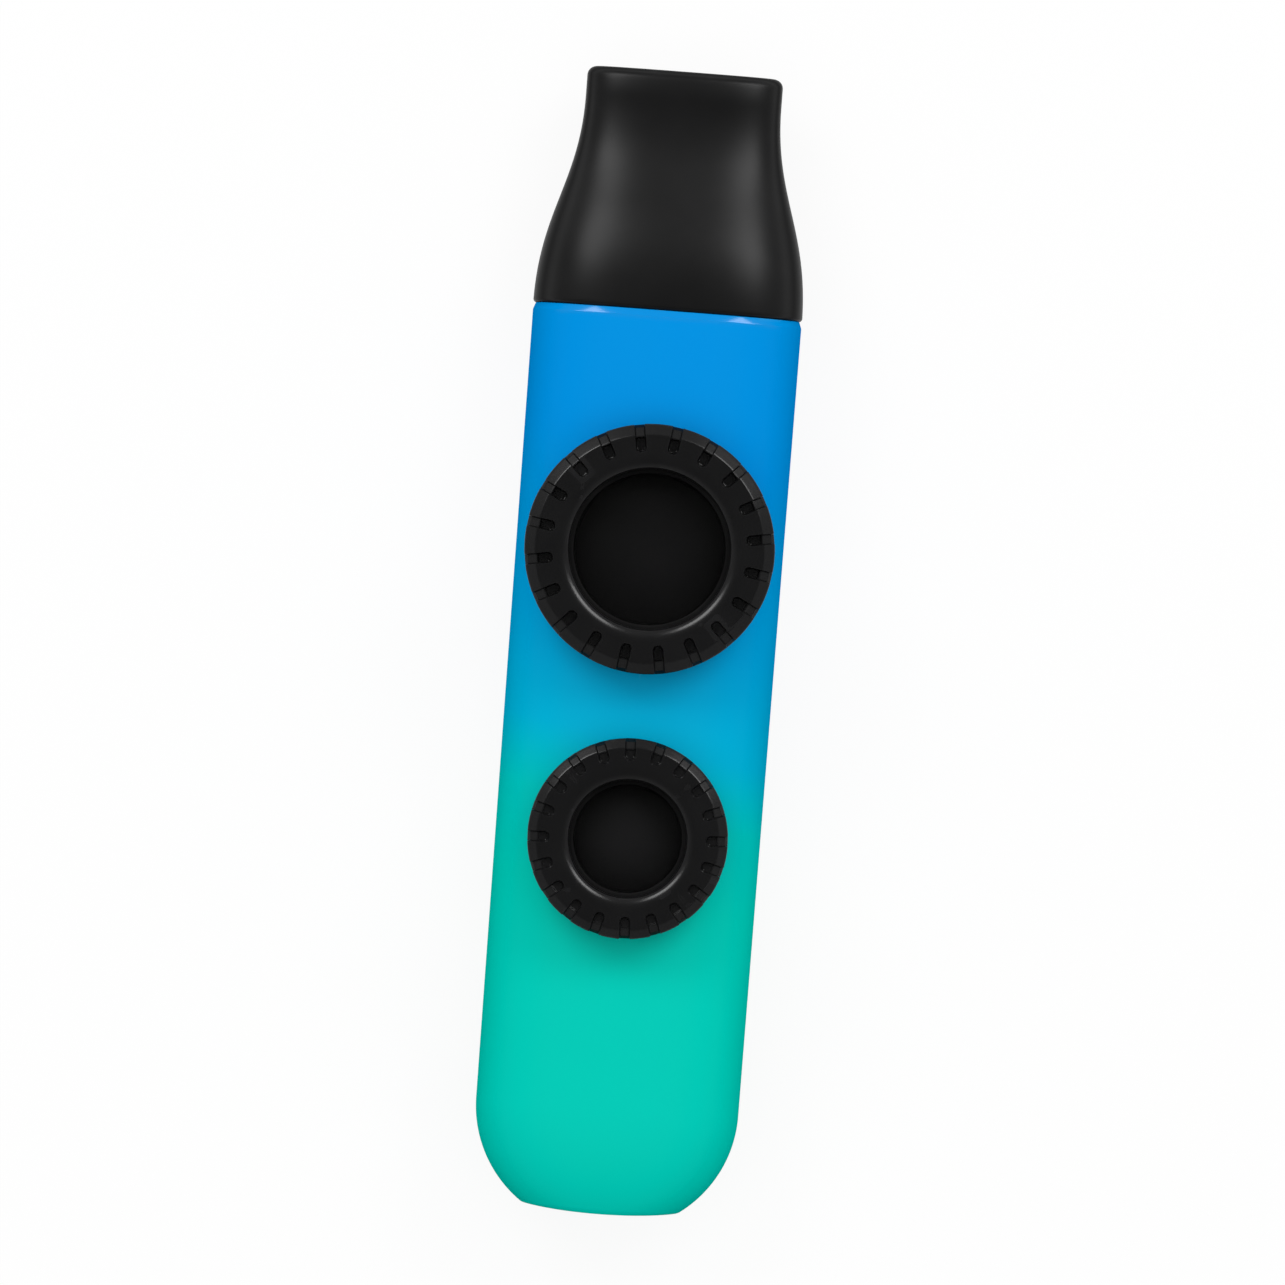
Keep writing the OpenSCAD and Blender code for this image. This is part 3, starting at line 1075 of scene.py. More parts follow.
    def chamber(self) -> Piece:
        """Makes the air chamber as a solid that is taken away.

        Returns:
            The solid.
        """
        mouth_y = self.joint_y + self.overrun
        floor_y = self.end_y + self.end_bow + self.end_wall
        start = self.joint_y - self.lip_bevel_len
        rows = int((start - self.corner_y) / (2 * self.row_gap))
        places = (mouth_y, *np.linspace(start, self.corner_y, rows + 1)[:-1])
        floor_turn = math.asin((self.corner_y - floor_y) / self.corner_r)
        corner = np.linspace(0.0, min(floor_turn, self.meet), self.chamber_steps + 1)
        outer = [self.straight(y) for y in places] + [self.nose(turn) for turn in corner]
        stations = [station.inside(self.wall) for station in outer]
        foot = stations.pop()
        stations.append(Station(floor_y, foot.half_w, foot.half_t))
        draft = Draft()
        draft.barrel(self.section.rings(self.turns, stations), (0.0, mouth_y, self.mid_z),
                     (0.0, floor_y, self.mid_z))
        return draft.finish("chamber_tool")

    def outlet(self) -> Piece:
        """Makes the air outlet as a tool whose mouth is rounded.

        Returns:
            The solid.
        """
        turn = round_turns(self.outlet_columns) + math.pi / self.outlet_columns
        straight = np.sign(np.cos(turn)) * (self.outlet_w - self.outlet_h) / 2
        soft = self.outlet_round
        mouth = [(soft * (1 - math.cos(bend)), soft * (1 - math.sin(bend)))
                 for bend in quarter(self.outlet_steps)]
        first_depth = -self.outlet_overrun
        last_depth = self.end_wall + self.end_bow + self.outlet_overrun
        rows = []
        for depth, flare in [(first_depth, soft), *mouth, (last_depth, 0.0)]:
            radius = self.outlet_h / 2 + flare
            x = radius * np.cos(turn) + straight
            bow = self.end_bow * (x / self.round_x) ** 2 if depth < last_depth else 0.0 * x
            rows.append(np.stack([x, self.end_y + depth + bow,
                                  self.mid_z + radius * np.sin(turn)], axis=-1))
        draft = Draft()
        draft.barrel(np.array(rows), (0.0, self.end_y + first_depth, self.mid_z),
                     (0.0, self.end_y + last_depth, self.mid_z))
        return draft.finish("outlet_tool")

    def build(self, paint: Finish, inside: Finish) -> Piece:
        """Makes the body and dresses it.

        Args:
            paint: Finish outside.
            inside: Finish of the chamber and the sockets.

        Returns:
            The piece.
        """
        body = self.outside()
        for y, pad_r, _ in self.pads:
            path = rounded_path([(pad_r, self.mid_z, 0.0), (pad_r, self.pad_top, self.pad_round),
                                 (0.0, self.pad_top, 0.0)], self.pad_steps)
            combine(body, plug(path[:-1], (0.0, y), self.pad_columns, "pad_tool"), Cut.JOIN)
        combine(body, self.chamber(), Cut.TAKE_AWAY)
        for y, _, socket_r in self.pads:
            path = np.array([[socket_r, self.mid_z], [socket_r, self.pad_top + self.overrun]])
            socket = plug(path, (0.0, y), self.socket_columns, "socket_tool")
            combine(body, socket, Cut.TAKE_AWAY)
        combine(body, self.outlet(), Cut.TAKE_AWAY)
        self.mark_inside(body)
        dress(body, self.crease, (paint, inside), "body_shell", "body")
        return body

    def mark_inside(self, body: Piece) -> None:
        """Gives the faces inside the shell the second finish.

        Args:
            body: The body, with all its holes.
        """
        mesh = body.data
        centres = np.zeros(len(mesh.polygons) * 3)
        mesh.polygons.foreach_get("center", centres)
        x, y, z = centres.reshape(-1, 3).T
        depth = np.clip(self.corner_y - y, 0.0, self.corner_r * math.sin(self.meet))
        turn = np.arcsin(depth / self.corner_r)
        drop = self.nose_drop * (1 - np.cos(turn)) / (1 - math.cos(self.meet))
        half_w = np.where(depth > 0, self.corner_x + self.corner_r * np.cos(turn),
                          self.half_w(np.maximum(y, self.corner_y)))
        half_t, power = self.half_t - drop, self.section.power
        share = np.abs(x / half_w) ** power + np.abs((z - self.mid_z) / half_t) ** power
        inside = (share < self.painted_share) & (y < self.joint_y - self.hair)
        inside &= y > self.end_y + self.painted_end
        for pad_y, _, socket_r in self.pads:
            inside |= (np.hypot(x, y - pad_y) < socket_r + self.hair) & (z > self.mid_z)
        mesh.polygons.foreach_set("material_index", inside.astype(np.int32))


@dataclass
class Mouthpiece:
    """Duckbill mouthpiece: flared outside, thin tip with rounded lips, channel and spigot."""

    width: float = 30.0 * MM
    half_t: float = 9.075 * MM
    mid_z: float = 8.925 * MM
    body_taper: float = 0.7 * MM
    body_run: float = 88.73 * MM
    tip_w: float = 21.78 * MM
    tip_thick: float = 9.0 * MM
    flare_len: float = 23.5 * MM
    flare_hold: float = 10.4 * MM
    flare_runout: float = 9.8 * MM
    lip_round: float = 0.45 * MM
    lip_clear: float = 0.1 * MM
    tip_round: float = 1.0 * MM
    tip_droop: float = 0.45 * MM
    channel_round: float = 0.4 * MM
    tip_wall: float = 1.8 * MM
    wall: float = 1.8 * MM
    spigot_wall: float = 1.5 * MM
    spigot_clear: float = 0.12 * MM
    spigot_bevel: float = 0.7 * MM
    spigot_flare: float = 0.3 * MM
    seam_rise: float = 0.035 * MM
    seam_half: float = 0.09 * MM
    seam_lines: tuple[float, ...] = (0.04 * MM, 0.09 * MM, 0.15 * MM)
    lip_steps: int = 8
    flare_steps: int = 44
    tip_rows: int = 5
    tip_steps: int = 10
    channel_steps: int = 6
    inner_steps: int = 22
    spigot_rows: int = 5
    crease: float = 34.0

    def __post_init__(self) -> None:
        """Takes the mouthpiece's places from the frame."""
        low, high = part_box("mouthpiece")
        self.foot_y, self.tip_y = low.y, high.y
        self.joint_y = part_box("body_shell")[1].y
        self.section = Section(self.mid_z)

    def flare(self, share: float) -> tuple[Station, float]:
        """Station on the flare.

        Args:
            share: Share of the flare's curve, from the joint.

        Returns:
            The station and the wall's thickness there.
        """
        left = 1 - share
        weights = (left**3, 3 * share * left**2, 3 * share**2 * left, share**3)

        def along(*ends: float) -> float:
            """Weighs the four values of the curve."""
            return sum(weight * end for weight, end in zip(weights, ends))

        run = along(0.0, self.flare_hold, self.flare_len - self.flare_runout, self.flare_len)
        half_w = along(self.width / 2, self.width / 2, self.tip_w / 2, self.tip_w / 2)
        half_t = along(self.half_t, self.half_t, self.tip_thick / 2, self.tip_thick / 2)
        thick = self.wall + self.spigot_clear + self.spigot_wall
        wall = self.tip_wall + (thick - self.tip_wall) * left
        return Station(self.joint_y + run, half_w, half_t), wall

    def spigot_half_w(self, y: float) -> float:
        """Half width of the spigot, which follows the body's taper."""
        body = self.width / 2 + self.body_taper / 2 * (y - self.joint_y) / self.body_run
        return body - self.wall - self.spigot_clear

    def outside(self) -> list[Station]:
        """Stations out along the outside, from the joint over the flare and the tip's lips.

        Returns:
            The stations.
        """
        base = Station(0.0, self.width / 2, self.half_t)
        made = []
        for turn in quarter(self.lip_steps):
            station = base.inside(self.lip_round * (1 - math.sin(turn)))
            y = self.joint_y + self.lip_round * (1 - math.cos(turn))
            made.append(Station(y, station.half_w, station.half_t))
        clear_y = self.joint_y + self.lip_round + self.lip_clear
        shares = np.linspace(0.0, 1.0, self.flare_steps + 1)[1:]
        flared = [self.flare(share)[0] for share in shares]
        made += [station for station in flared if station.y > clear_y]
        start = made[-1].y

        def tip(y: float) -> Station:
            """Station of the tip, which curves down towards its end."""
            droop = self.tip_droop * ((y - start) / (self.tip_y - start)) ** 2
            return Station(y, self.tip_w / 2, self.tip_thick / 2 - droop)

        level = np.linspace(start, self.tip_y - self.tip_round, self.tip_rows + 2)[1:-1]
        made += [tip(y) for y in level]
        for turn in quarter(self.tip_steps):
            y = self.tip_y - self.tip_round * (1 - math.sin(turn))
            made.append(tip(y).inside(self.tip_round * (1 - math.cos(turn))))
        return made

    def channel(self) -> list[Station]:
        """Stations back from the tip through the channel to the joint.

        Returns:
            The stations.
        """
        made = []
        for turn in quarter(self.channel_steps):
            y = self.tip_y - self.channel_round * (1 - math.cos(turn))
            inset = self.tip_wall - self.channel_round * (1 - math.sin(turn))
            made.append(Station(y, self.tip_w / 2, self.tip_thick / 2).inside(inset))
        for share in np.linspace(1.0, 0.0, self.inner_steps + 1):
            station, thick = self.flare(share)
            made.append(station.inside(thick))
        return made

    def spigot(self) -> list[Station]:
        """Stations down inside the spigot, round its foot and back up to the joint.

        Returns:
            The stations.
        """
        half_t = self.half_t - self.wall - self.spigot_clear

        def outer(y: float) -> Station:
            """Station on the spigot's outside."""
            return Station(y, self.spigot_half_w(y), half_t)

        flare_y, bevel_y = self.foot_y + self.spigot_flare, self.foot_y + self.spigot_bevel
        down = np.linspace(self.joint_y, flare_y, self.spigot_rows + 1)[1:]
        made = [outer(y).inside(self.spigot_wall) for y in down]
        made.append(outer(self.foot_y).inside(self.spigot_wall - self.spigot_flare))
        made.append(outer(self.foot_y).inside(self.spigot_bevel))
        return made + [outer(y) for y in np.linspace(bevel_y, self.joint_y, self.spigot_rows + 1)]

    def build(self, finish: Finish) -> Piece:
        """Makes the mouthpiece, with its mould seam, and dresses it.

        Args:
            finish: Its finish.

        Returns:
            The piece.
        """
        turns = self.section.turns(self.width / 2, self.half_t, self.seam_lines)
        outside = self.outside()
        points = self.section.rings(turns, outside + self.channel() + self.spigot())
        outer = points[: len(outside)]
        ridge = self.seam_rise * np.exp(-(((outer[..., 2] - self.mid_z) / self.seam_half) ** 2))
        outer[..., 0] += ridge * np.sign(outer[..., 0])
        draft = Draft()
        draft.tube(points)
        piece = draft.finish("mouthpiece_duckbill")
        dress(piece, self.crease, (finish,), "mouthpiece", "mouthpiece")
        return piece


# Film holes


@dataclass(frozen=True)
class Thread:
    """Single right-hand thread that a ring turns on, the same height for both parts."""

    pitch: float = 1.0 * MM
    swing: float = 0.22 * MM
    steepness: float = 1.35

    def lean(self, height: np.ndarray, turn: np.ndarray) -> np.ndarray:
        """How far the thread leans out at a height and a turn, from -1 to 1."""
        wave = np.cos(2 * math.pi * height / self.pitch - turn)
        return np.clip(self.steepness * wave, -1.0, 1.0)


@dataclass(frozen=True)
class Folds:
    """Faint wrinkles that run in from the edge of a stretched film."""

    rise: float = 0.012 * MM
    coarse: int = 9
    fine: int = 23
    fine_share: float = 0.6
    fine_shift: float = 0.7
    wander: float = 1.3

    def lift(self, share: np.ndarray, turn: np.ndarray) -> np.ndarray:
        """Rise of the film where it is wrinkled.

        Args:
            share: Share of the film's radius.
            turn: Turn round the axis.

        Returns:
            The rise.
        """
        coarse = np.sin(self.coarse * turn + self.wander * np.sin(2 * turn))
        waves = coarse + self.fine_share * np.sin(self.fine * turn + self.fine_shift)
        return self.rise * waves * share**2 * (1 - share**6)


@dataclass
class FilmHole:
    """Turret with its film, the film's frame and the clamp that the ring presses down."""

    size: str
    base_r: float
    rim_w: float
    skirt_wall: float
    thread: Thread = Thread()
    folds: Folds = Folds()
    thread_clear: float = 0.08 * MM
    thread_start: float = 0.1 * MM
    thread_run_in: float = 0.35 * MM
    thread_end: float = 0.12 * MM
    thread_run_out: float = 0.3 * MM
    flange_inset: float = 1.2 * MM
    flange_thick: float = 0.8 * MM
    neck_wall: float = 0.9 * MM
    neck_foot: float = 0.08 * MM
    neck_edge: float = 0.1 * MM
    socket_inset: float = 0.8 * MM
    seat_clear: float = 0.06 * MM
    pad_inset: float = 0.85 * MM
    clamp_show: float = 0.5 * MM
    clamp_round: float = 0.2 * MM
    passage_inset: float = 0.3 * MM
    frame_w: float = 1.4 * MM
    frame_round: float = 0.08 * MM
    foot_round: float = 0.25 * MM
    soften: float = 0.12 * MM
    hair: float = 0.02 * MM
    columns: int = 240
    neck_rows: int = 44
    film_rows: int = 48
    middle_share: float = 0.03
    turret_crease: float = 35.0
    film_crease: float = 40.0
    washer_crease: float = 50.0

    def __post_init__(self) -> None:
        """Takes the places of the pieces from the frame."""
        low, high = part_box(f"{self.size}_turret")
        self.centre = (0.0, (low.y + high.y) / 2)
        self.foot_z, self.neck_top = low.z, high.z
        self.pad_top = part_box("body_shell")[1].z
        self.flange_top = self.pad_top + self.flange_thick
        self.film_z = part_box(f"{self.size}_film")[0].z
        self.thread_r = self.base_r - self.skirt_wall - self.thread_clear
        self.root_r = self.thread_r - 2 * self.thread.swing
        self.plug_r = self.thread_r - self.socket_inset
        self.well_r = self.thread_r - self.neck_wall
        self.disc_r = self.well_r - self.seat_clear
        self.clamp_hole_r = self.base_r - self.rim_w - self.clamp_show
        self.passage_r = self.clamp_hole_r - self.passage_inset

    def pad(self) -> tuple[float, float, float]:
        """Place along the body, radius of the pad and radius of the socket under the turret."""
        return self.centre[1], self.base_r - self.pad_inset, self.plug_r + self.seat_clear

    def neck(self, radius: np.ndarray, height: np.ndarray, turn: np.ndarray) -> np.ndarray:
        """Cuts the thread into the neck.

        Args:
            radius: Radius of the plain outline.
            height: Height of the outline.
            turn: Turn round the axis.

        Returns:
            The radius with the thread.
        """
        above, below = height - self.flange_top, self.neck_top - height
        cut = self.root_r + self.thread.swing * (1 + self.thread.lean(height, turn))
        fade = ease((above - self.thread_start) / self.thread_run_in)
        fade = fade * ease((below - self.thread_end) / self.thread_run_out)
        threaded = self.root_r + fade * (cut - self.root_r)
        on_neck = (radius > self.thread_r - self.hair) & (above > self.neck_foot / 2)
        return np.where(on_neck, threaded, radius + 0.0 * turn)

    def turret(self, finish: Finish) -> Piece:
        """Makes the turret with its threaded neck.

        Args:
            finish: Its finish.

        Returns:
            The piece.
        """
        soft, edge = self.soften, self.neck_edge
        flange_r = self.base_r - self.flange_inset
        lower = rounded_path([
            (self.passage_r, self.foot_z, soft), (self.plug_r, self.foot_z, self.foot_round),
            (self.plug_r, self.pad_top, 0.0), (flange_r, self.pad_top, 0.0),
            (flange_r, self.flange_top, soft), (self.root_r, self.flange_top, 0.0),
        ])
        start = self.flange_top + self.neck_foot
        heights = np.linspace(start, self.neck_top - edge, self.neck_rows)
        neck = np.stack([np.full_like(heights, self.thread_r), heights], axis=-1)
        upper = np.array([
            [self.root_r - edge, self.neck_top], [self.well_r + edge, self.neck_top],
            [self.well_r, self.neck_top - edge], [self.well_r, self.film_z],
            [self.passage_r + soft, self.film_z], [self.passage_r, self.film_z - soft],
        ])
        path = np.concatenate([lower, neck, upper])
        draft = Draft()
        draft.tube(revolve(path, self.centre, self.columns, self.neck))
        piece = draft.finish(f"{self.size}_turret_threaded")
        dress(piece, self.turret_crease, (finish,), f"{self.size}_turret", "body")
        return piece

    def film(self, finish: Finish) -> Piece:
        """Makes the film, stretched with faint wrinkles that run in from its frame.

        Args:
            finish: Its finish.

        Returns:
            The piece.
        """
        low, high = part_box(f"{self.size}_film")
        turn = round_turns(self.columns)[None, :]
        share = np.linspace(self.middle_share, 1.0, self.film_rows)[:, None]
        lift = self.folds.lift(share, turn)
        across = self.disc_r * share * np.cos(turn)
        along = self.centre[1] + self.disc_r * share * np.sin(turn)
        draft = Draft()
        faces = []
        for level in (low.z, high.z):
            height = np.clip(level + lift, low.z - self.hair, high.z + self.hair)
            faces.append(draft.rows(np.stack([across, along, height], axis=-1)))
        draft.skin(np.concatenate([faces[0], faces[1][::-1]]))
        draft.fan(faces[0][0], (*self.centre, low.z), True)
        draft.fan(faces[1][0], (*self.centre, high.z), False)
        piece = draft.finish(f"{self.size}_film_stretched")
        dress(piece, self.film_crease, (finish,), f"{self.size}_film", "body")
        return piece

    def washer(
        self, node: str, body: str, hole_r: float, rounding: float, finish: Finish
    ) -> Piece:
        """Makes a flat ring in the turret's well.

        Args:
            node: Solid that it stands for.
            body: Body that it rides on.
            hole_r: Radius of its hole.
            rounding: Rounding of its edges.
            finish: Its finish.

        Returns:
            The piece.
        """
        low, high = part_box(node)
        path = rounded_path([(hole_r, low.z, rounding), (self.disc_r, low.z, rounding),
                             (self.disc_r, high.z, rounding), (hole_r, high.z, rounding)])
        draft = Draft()
        draft.tube(revolve(path, self.centre, self.columns))
        piece = draft.finish(f"{node}_ring")
        dress(piece, self.washer_crease, (finish,), node, body)
        return piece

    def build(self, plastic: Finish, clamp: Finish, card: Finish, film: Finish) -> None:
        """Makes all the pieces of the film hole.

        Args:
            plastic: Finish of the turret.
            clamp: Finish of the clamp.
            card: Finish of the film's frame.
            film: Finish of the film.
        """
        self.turret(plastic)
        self.film(film)
        self.washer(f"{self.size}_film_frame", "body", self.disc_r - self.frame_w,
                    self.frame_round, card)
        self.washer(f"{self.size}_film_clamp", f"{self.size}_clamp", self.clamp_hole_r,
                    self.clamp_round, clamp)


@dataclass
class ScrewRing:
    """Notched ring that screws down on a turret and presses the film clamp with its lip."""

    size: str
    base_r: float
    rim_w: float
    skirt_wall: float
    bevel: float
    notch_len: float
    notch_depth: float
    notch_turn: float
    mouth_w: float
    mouth_h: float
    bevel_slope: float = 31.0
    notch_rim: float = 0.2 * MM
    edge_round: float = 0.4 * MM
    brow_round: float = 0.3 * MM
    notches: int = 20
    notch_w: float = 1.05 * MM
    pit_end_share: float = 0.65
    pit_margin: float = 0.12 * MM
    pocket_round: float = 0.16 * MM
    dent_depth: float = 0.35 * MM
    dent_run: float = 0.5 * MM
    lip_thick: float = 1.8 * MM
    lip_edge: float = 0.15 * MM
    lip_break: float = 0.04 * MM
    foot_round: float = 0.2 * MM
    bore_edge: float = 0.1 * MM
    hair: float = 0.02 * MM
    lead: float = 0.35 * MM
    thread: Thread = Thread()
    thread_end: float = 0.05 * MM
    thread_run: float = 0.3 * MM
    wall_half: float = 0.08 * MM
    wall_shares: tuple[float, ...] = (-2.2, -1.0, -0.45, 0.0, 0.45, 1.0, 3.0)
    notch_middle: float = 0.22 * MM
    between: int = 7
    bend_steps: int = 6
    foot_steps: int = 4
    side_steps: int = 11
    bevel_steps: int = 6
    pit_steps: int = 5
    pit_end_steps: int = 14
    rim_steps: int = 3
    mouth_steps: int = 18
    bore_rows: int = 40
    crease: float = 38.0

    def __post_init__(self) -> None:
        """Takes the ring's place from the frame."""
        low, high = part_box(f"{self.size}_ring")
        turret_low, turret_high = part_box(f"{self.size}_turret")
        self.centre_y = (turret_low.y + turret_high.y) / 2
        self.foot_z, self.height = low.z, high.z - low.z
        self.under = self.height - self.lip_thick
        self.bore = self.base_r - self.skirt_wall
        self.face_r = self.base_r - self.bevel
        self.hole_r = self.base_r - self.rim_w
        self.pit_r = self.face_r - self.notch_rim
        self.notch_r = self.pit_r - self.notch_len

    def face_rows(self, edge_r: float) -> np.ndarray:
        """Outline of the face, from its outer edge to the mouth.

        Args:
            edge_r: Radius at which the rounded outer edge ends.

        Returns:
            Radius and height of each row.
        """
        wall_r = self.pit_r - self.pocket_round
        round_r = self.notch_r + self.notch_w * self.pit_end_share
        end_r, mouth_r = self.notch_r - self.pit_margin, self.hole_r + self.mouth_w
        reach = np.concatenate([
            [(edge_r + self.pit_r) / 2], np.linspace(self.pit_r, wall_r, self.pit_steps + 1),
            np.linspace(wall_r, round_r, self.pit_steps + 1)[1:],
            np.linspace(round_r, end_r, self.pit_end_steps + 1)[1:],
            np.linspace(end_r, mouth_r, self.rim_steps + 1)[1:-1],
        ])
        return np.stack([reach, np.full_like(reach, self.height)], -1)

    def outer_rows(self) -> tuple[np.ndarray, np.ndarray]:
        """Outline of foot, side, bevel and face.

        Returns:
            Radius and height of each row between the notches, and in the middle of one.
        """
        brow_z = self.height - self.bevel * math.tan(math.radians(self.bevel_slope))
        bends = rounded_path([
            (self.bore + self.lead, 0.0, 0.0), (self.base_r, 0.0, self.foot_round),
            (self.base_r, brow_z, self.brow_round), (self.face_r, self.height, self.edge_round),
            (self.notch_r, self.height, 0.0),
        ], self.bend_steps)
        foot, brow, edge = np.split(bends[1:-1], 3)
        base = np.linspace(bends[0], foot[0], self.foot_steps + 1)[:-1]
        side = np.linspace(foot[-1], brow[0], self.side_steps + 1)[1:-1]
        bevel = np.linspace(brow[-1], edge[0], self.bevel_steps + 1)[1:-1]
        face = self.face_rows(edge[-1, 0])
        plain = np.concatenate([base, foot, side, brow, bevel, edge, face])
        along = np.gradient(plain, axis=0)
        along /= np.linalg.norm(along, axis=1, keepdims=True)
        painted_light_share = np.stack([-along[:, 1], along[:, 0]], -1)
        painted_light_share[: len(base) + len(foot)] = (-1.0, 0.0)
        dent = self.dent_depth * ease((plain[:, 1] - self.foot_round) / self.dent_run)
        cut = plain + painted_light_share * dent[:, None]
        pit = self.notch_depth - self.dent_depth
        cut[-len(face) :, 1] -= pit * ease((self.pit_r - face[:, 0]) / self.pocket_round)
        return plain, cut

    def inner_rows(self) -> np.ndarray:
        """Outline of the mouth, the lip's underside and the bore.

        Returns:
            Radius and height of each row.
        """
        under, hole_r = self.under, self.hole_r
        turn = quarter(self.mouth_steps)
        mouth = np.stack([hole_r + self.mouth_w * (1 - np.sin(turn)),
                          self.height - self.mouth_h * (1 - np.cos(turn))], -1)
        lip = np.array([
            [hole_r, under + self.lip_edge], [hole_r + self.lip_break, under + self.lip_break],
            [hole_r + self.lip_edge, under], [(hole_r + self.bore) / 2, under],
            [self.bore - self.bore_edge, under],
        ])
        down = np.linspace(under - self.hair, self.lead, self.bore_rows)
        bore = np.stack([np.full_like(down, self.bore), down], -1)
        return np.concatenate([mouth, lip, bore])

    def depth(self, near: np.ndarray, radius: np.ndarray, outer_count: int) -> np.ndarray:
        """Share of the notches' depth at each point of one notch and the space after it.

        Args:
            near: Distances of the notch's columns from its middle.
            radius: Radius of each row.
            outer_count: Number of rows on the outside, which the notches cut.

        Returns:
            Shares from 0 to 1, by row and column.
        """
        half, blur = self.notch_w / 2, self.wall_half
        aside = np.abs(np.concatenate([near, np.full(self.between, np.inf)]))[None, :]
        short = np.minimum(radius[:, None] - (self.notch_r + half), 0.0)
        on_face = (np.arange(len(radius)) < outer_count) & (radius <= self.pit_r)
        beyond = np.where(on_face[:, None], np.hypot(short, aside), aside) - half
        depth = 1 - ease((beyond + blur) / (2 * blur))
        depth[outer_count:] = 0.0
        return depth

    def turns(self, near: np.ndarray, radius: np.ndarray) -> np.ndarray:
        """Turns of all points round the ring.

        Args:
            near: Distances of a notch's columns from its middle.
            radius: Radius of each point of one notch and the space after it.

        Returns:
            The turns, by row and column.
        """
        step = 2 * math.pi / self.notches
        lean = np.arcsin(near[None, :] / radius[:, : len(near)])
        last = np.arcsin(near[-1] / radius[:, len(near) :])
        shares = (np.arange(self.between) + 1) / (self.between + 1)
        gap = last + (step - 2 * last) * shares[None, :]
        part = np.concatenate([lean, gap], axis=1) + math.pi / 2 - math.radians(self.notch_turn)
        return np.concatenate([part + step * index for index in range(self.notches)], axis=1)

    def threaded(self, height: np.ndarray, turn: np.ndarray) -> np.ndarray:
        """Cuts the thread into the bore, from the lead up to the lip.

        Args:
            height: Height over the ring's foot.
            turn: Turn round the axis.

        Returns:
            The radius with the thread.
        """
        lean = self.thread.lean(height + self.foot_z, turn)
        fade = ease((height - self.lead) / self.thread_run)
        fade = fade * ease((self.under - self.thread_end - height) / self.thread_run)
        return self.bore + fade * self.thread.swing * (lean - 1)

    def build(self, finish: Finish) -> Piece:
        """Makes the ring and dresses it.

        Args:
            finish: Its finish.

        Returns:
            The piece.
        """
        walls = [self.notch_w / 2 + share * self.wall_half for share in self.wall_shares]
        offsets = np.array([0.0, self.notch_middle, *walls])
        near = np.concatenate([-offsets[:0:-1], offsets])
        plain, cut = self.outer_rows()
        inner = self.inner_rows()
        rows, moved = np.concatenate([plain, inner]), np.concatenate([cut, inner])
        depth = self.depth(near, rows[:, 0], len(plain))
        radius = rows[:, :1] + (moved[:, :1] - rows[:, :1]) * depth
        height = rows[:, 1:] + (moved[:, 1:] - rows[:, 1:]) * depth
        turn = self.turns(near, radius)
        radius = np.tile(radius, (1, self.notches))
        height = np.tile(height, (1, self.notches))
        bore = slice(-self.bore_rows, None)
        radius[bore] = self.threaded(height[bore], turn[bore])
        x, y = radius * np.cos(turn), self.centre_y + radius * np.sin(turn)
        draft = Draft()
        draft.tube(np.stack([x, y, self.foot_z + height], -1))
        piece = draft.finish(f"{self.size}_ring_notched")
        dress(piece, self.crease, (finish,), f"{self.size}_ring", f"{self.size}_screw")
        return piece


# Studio


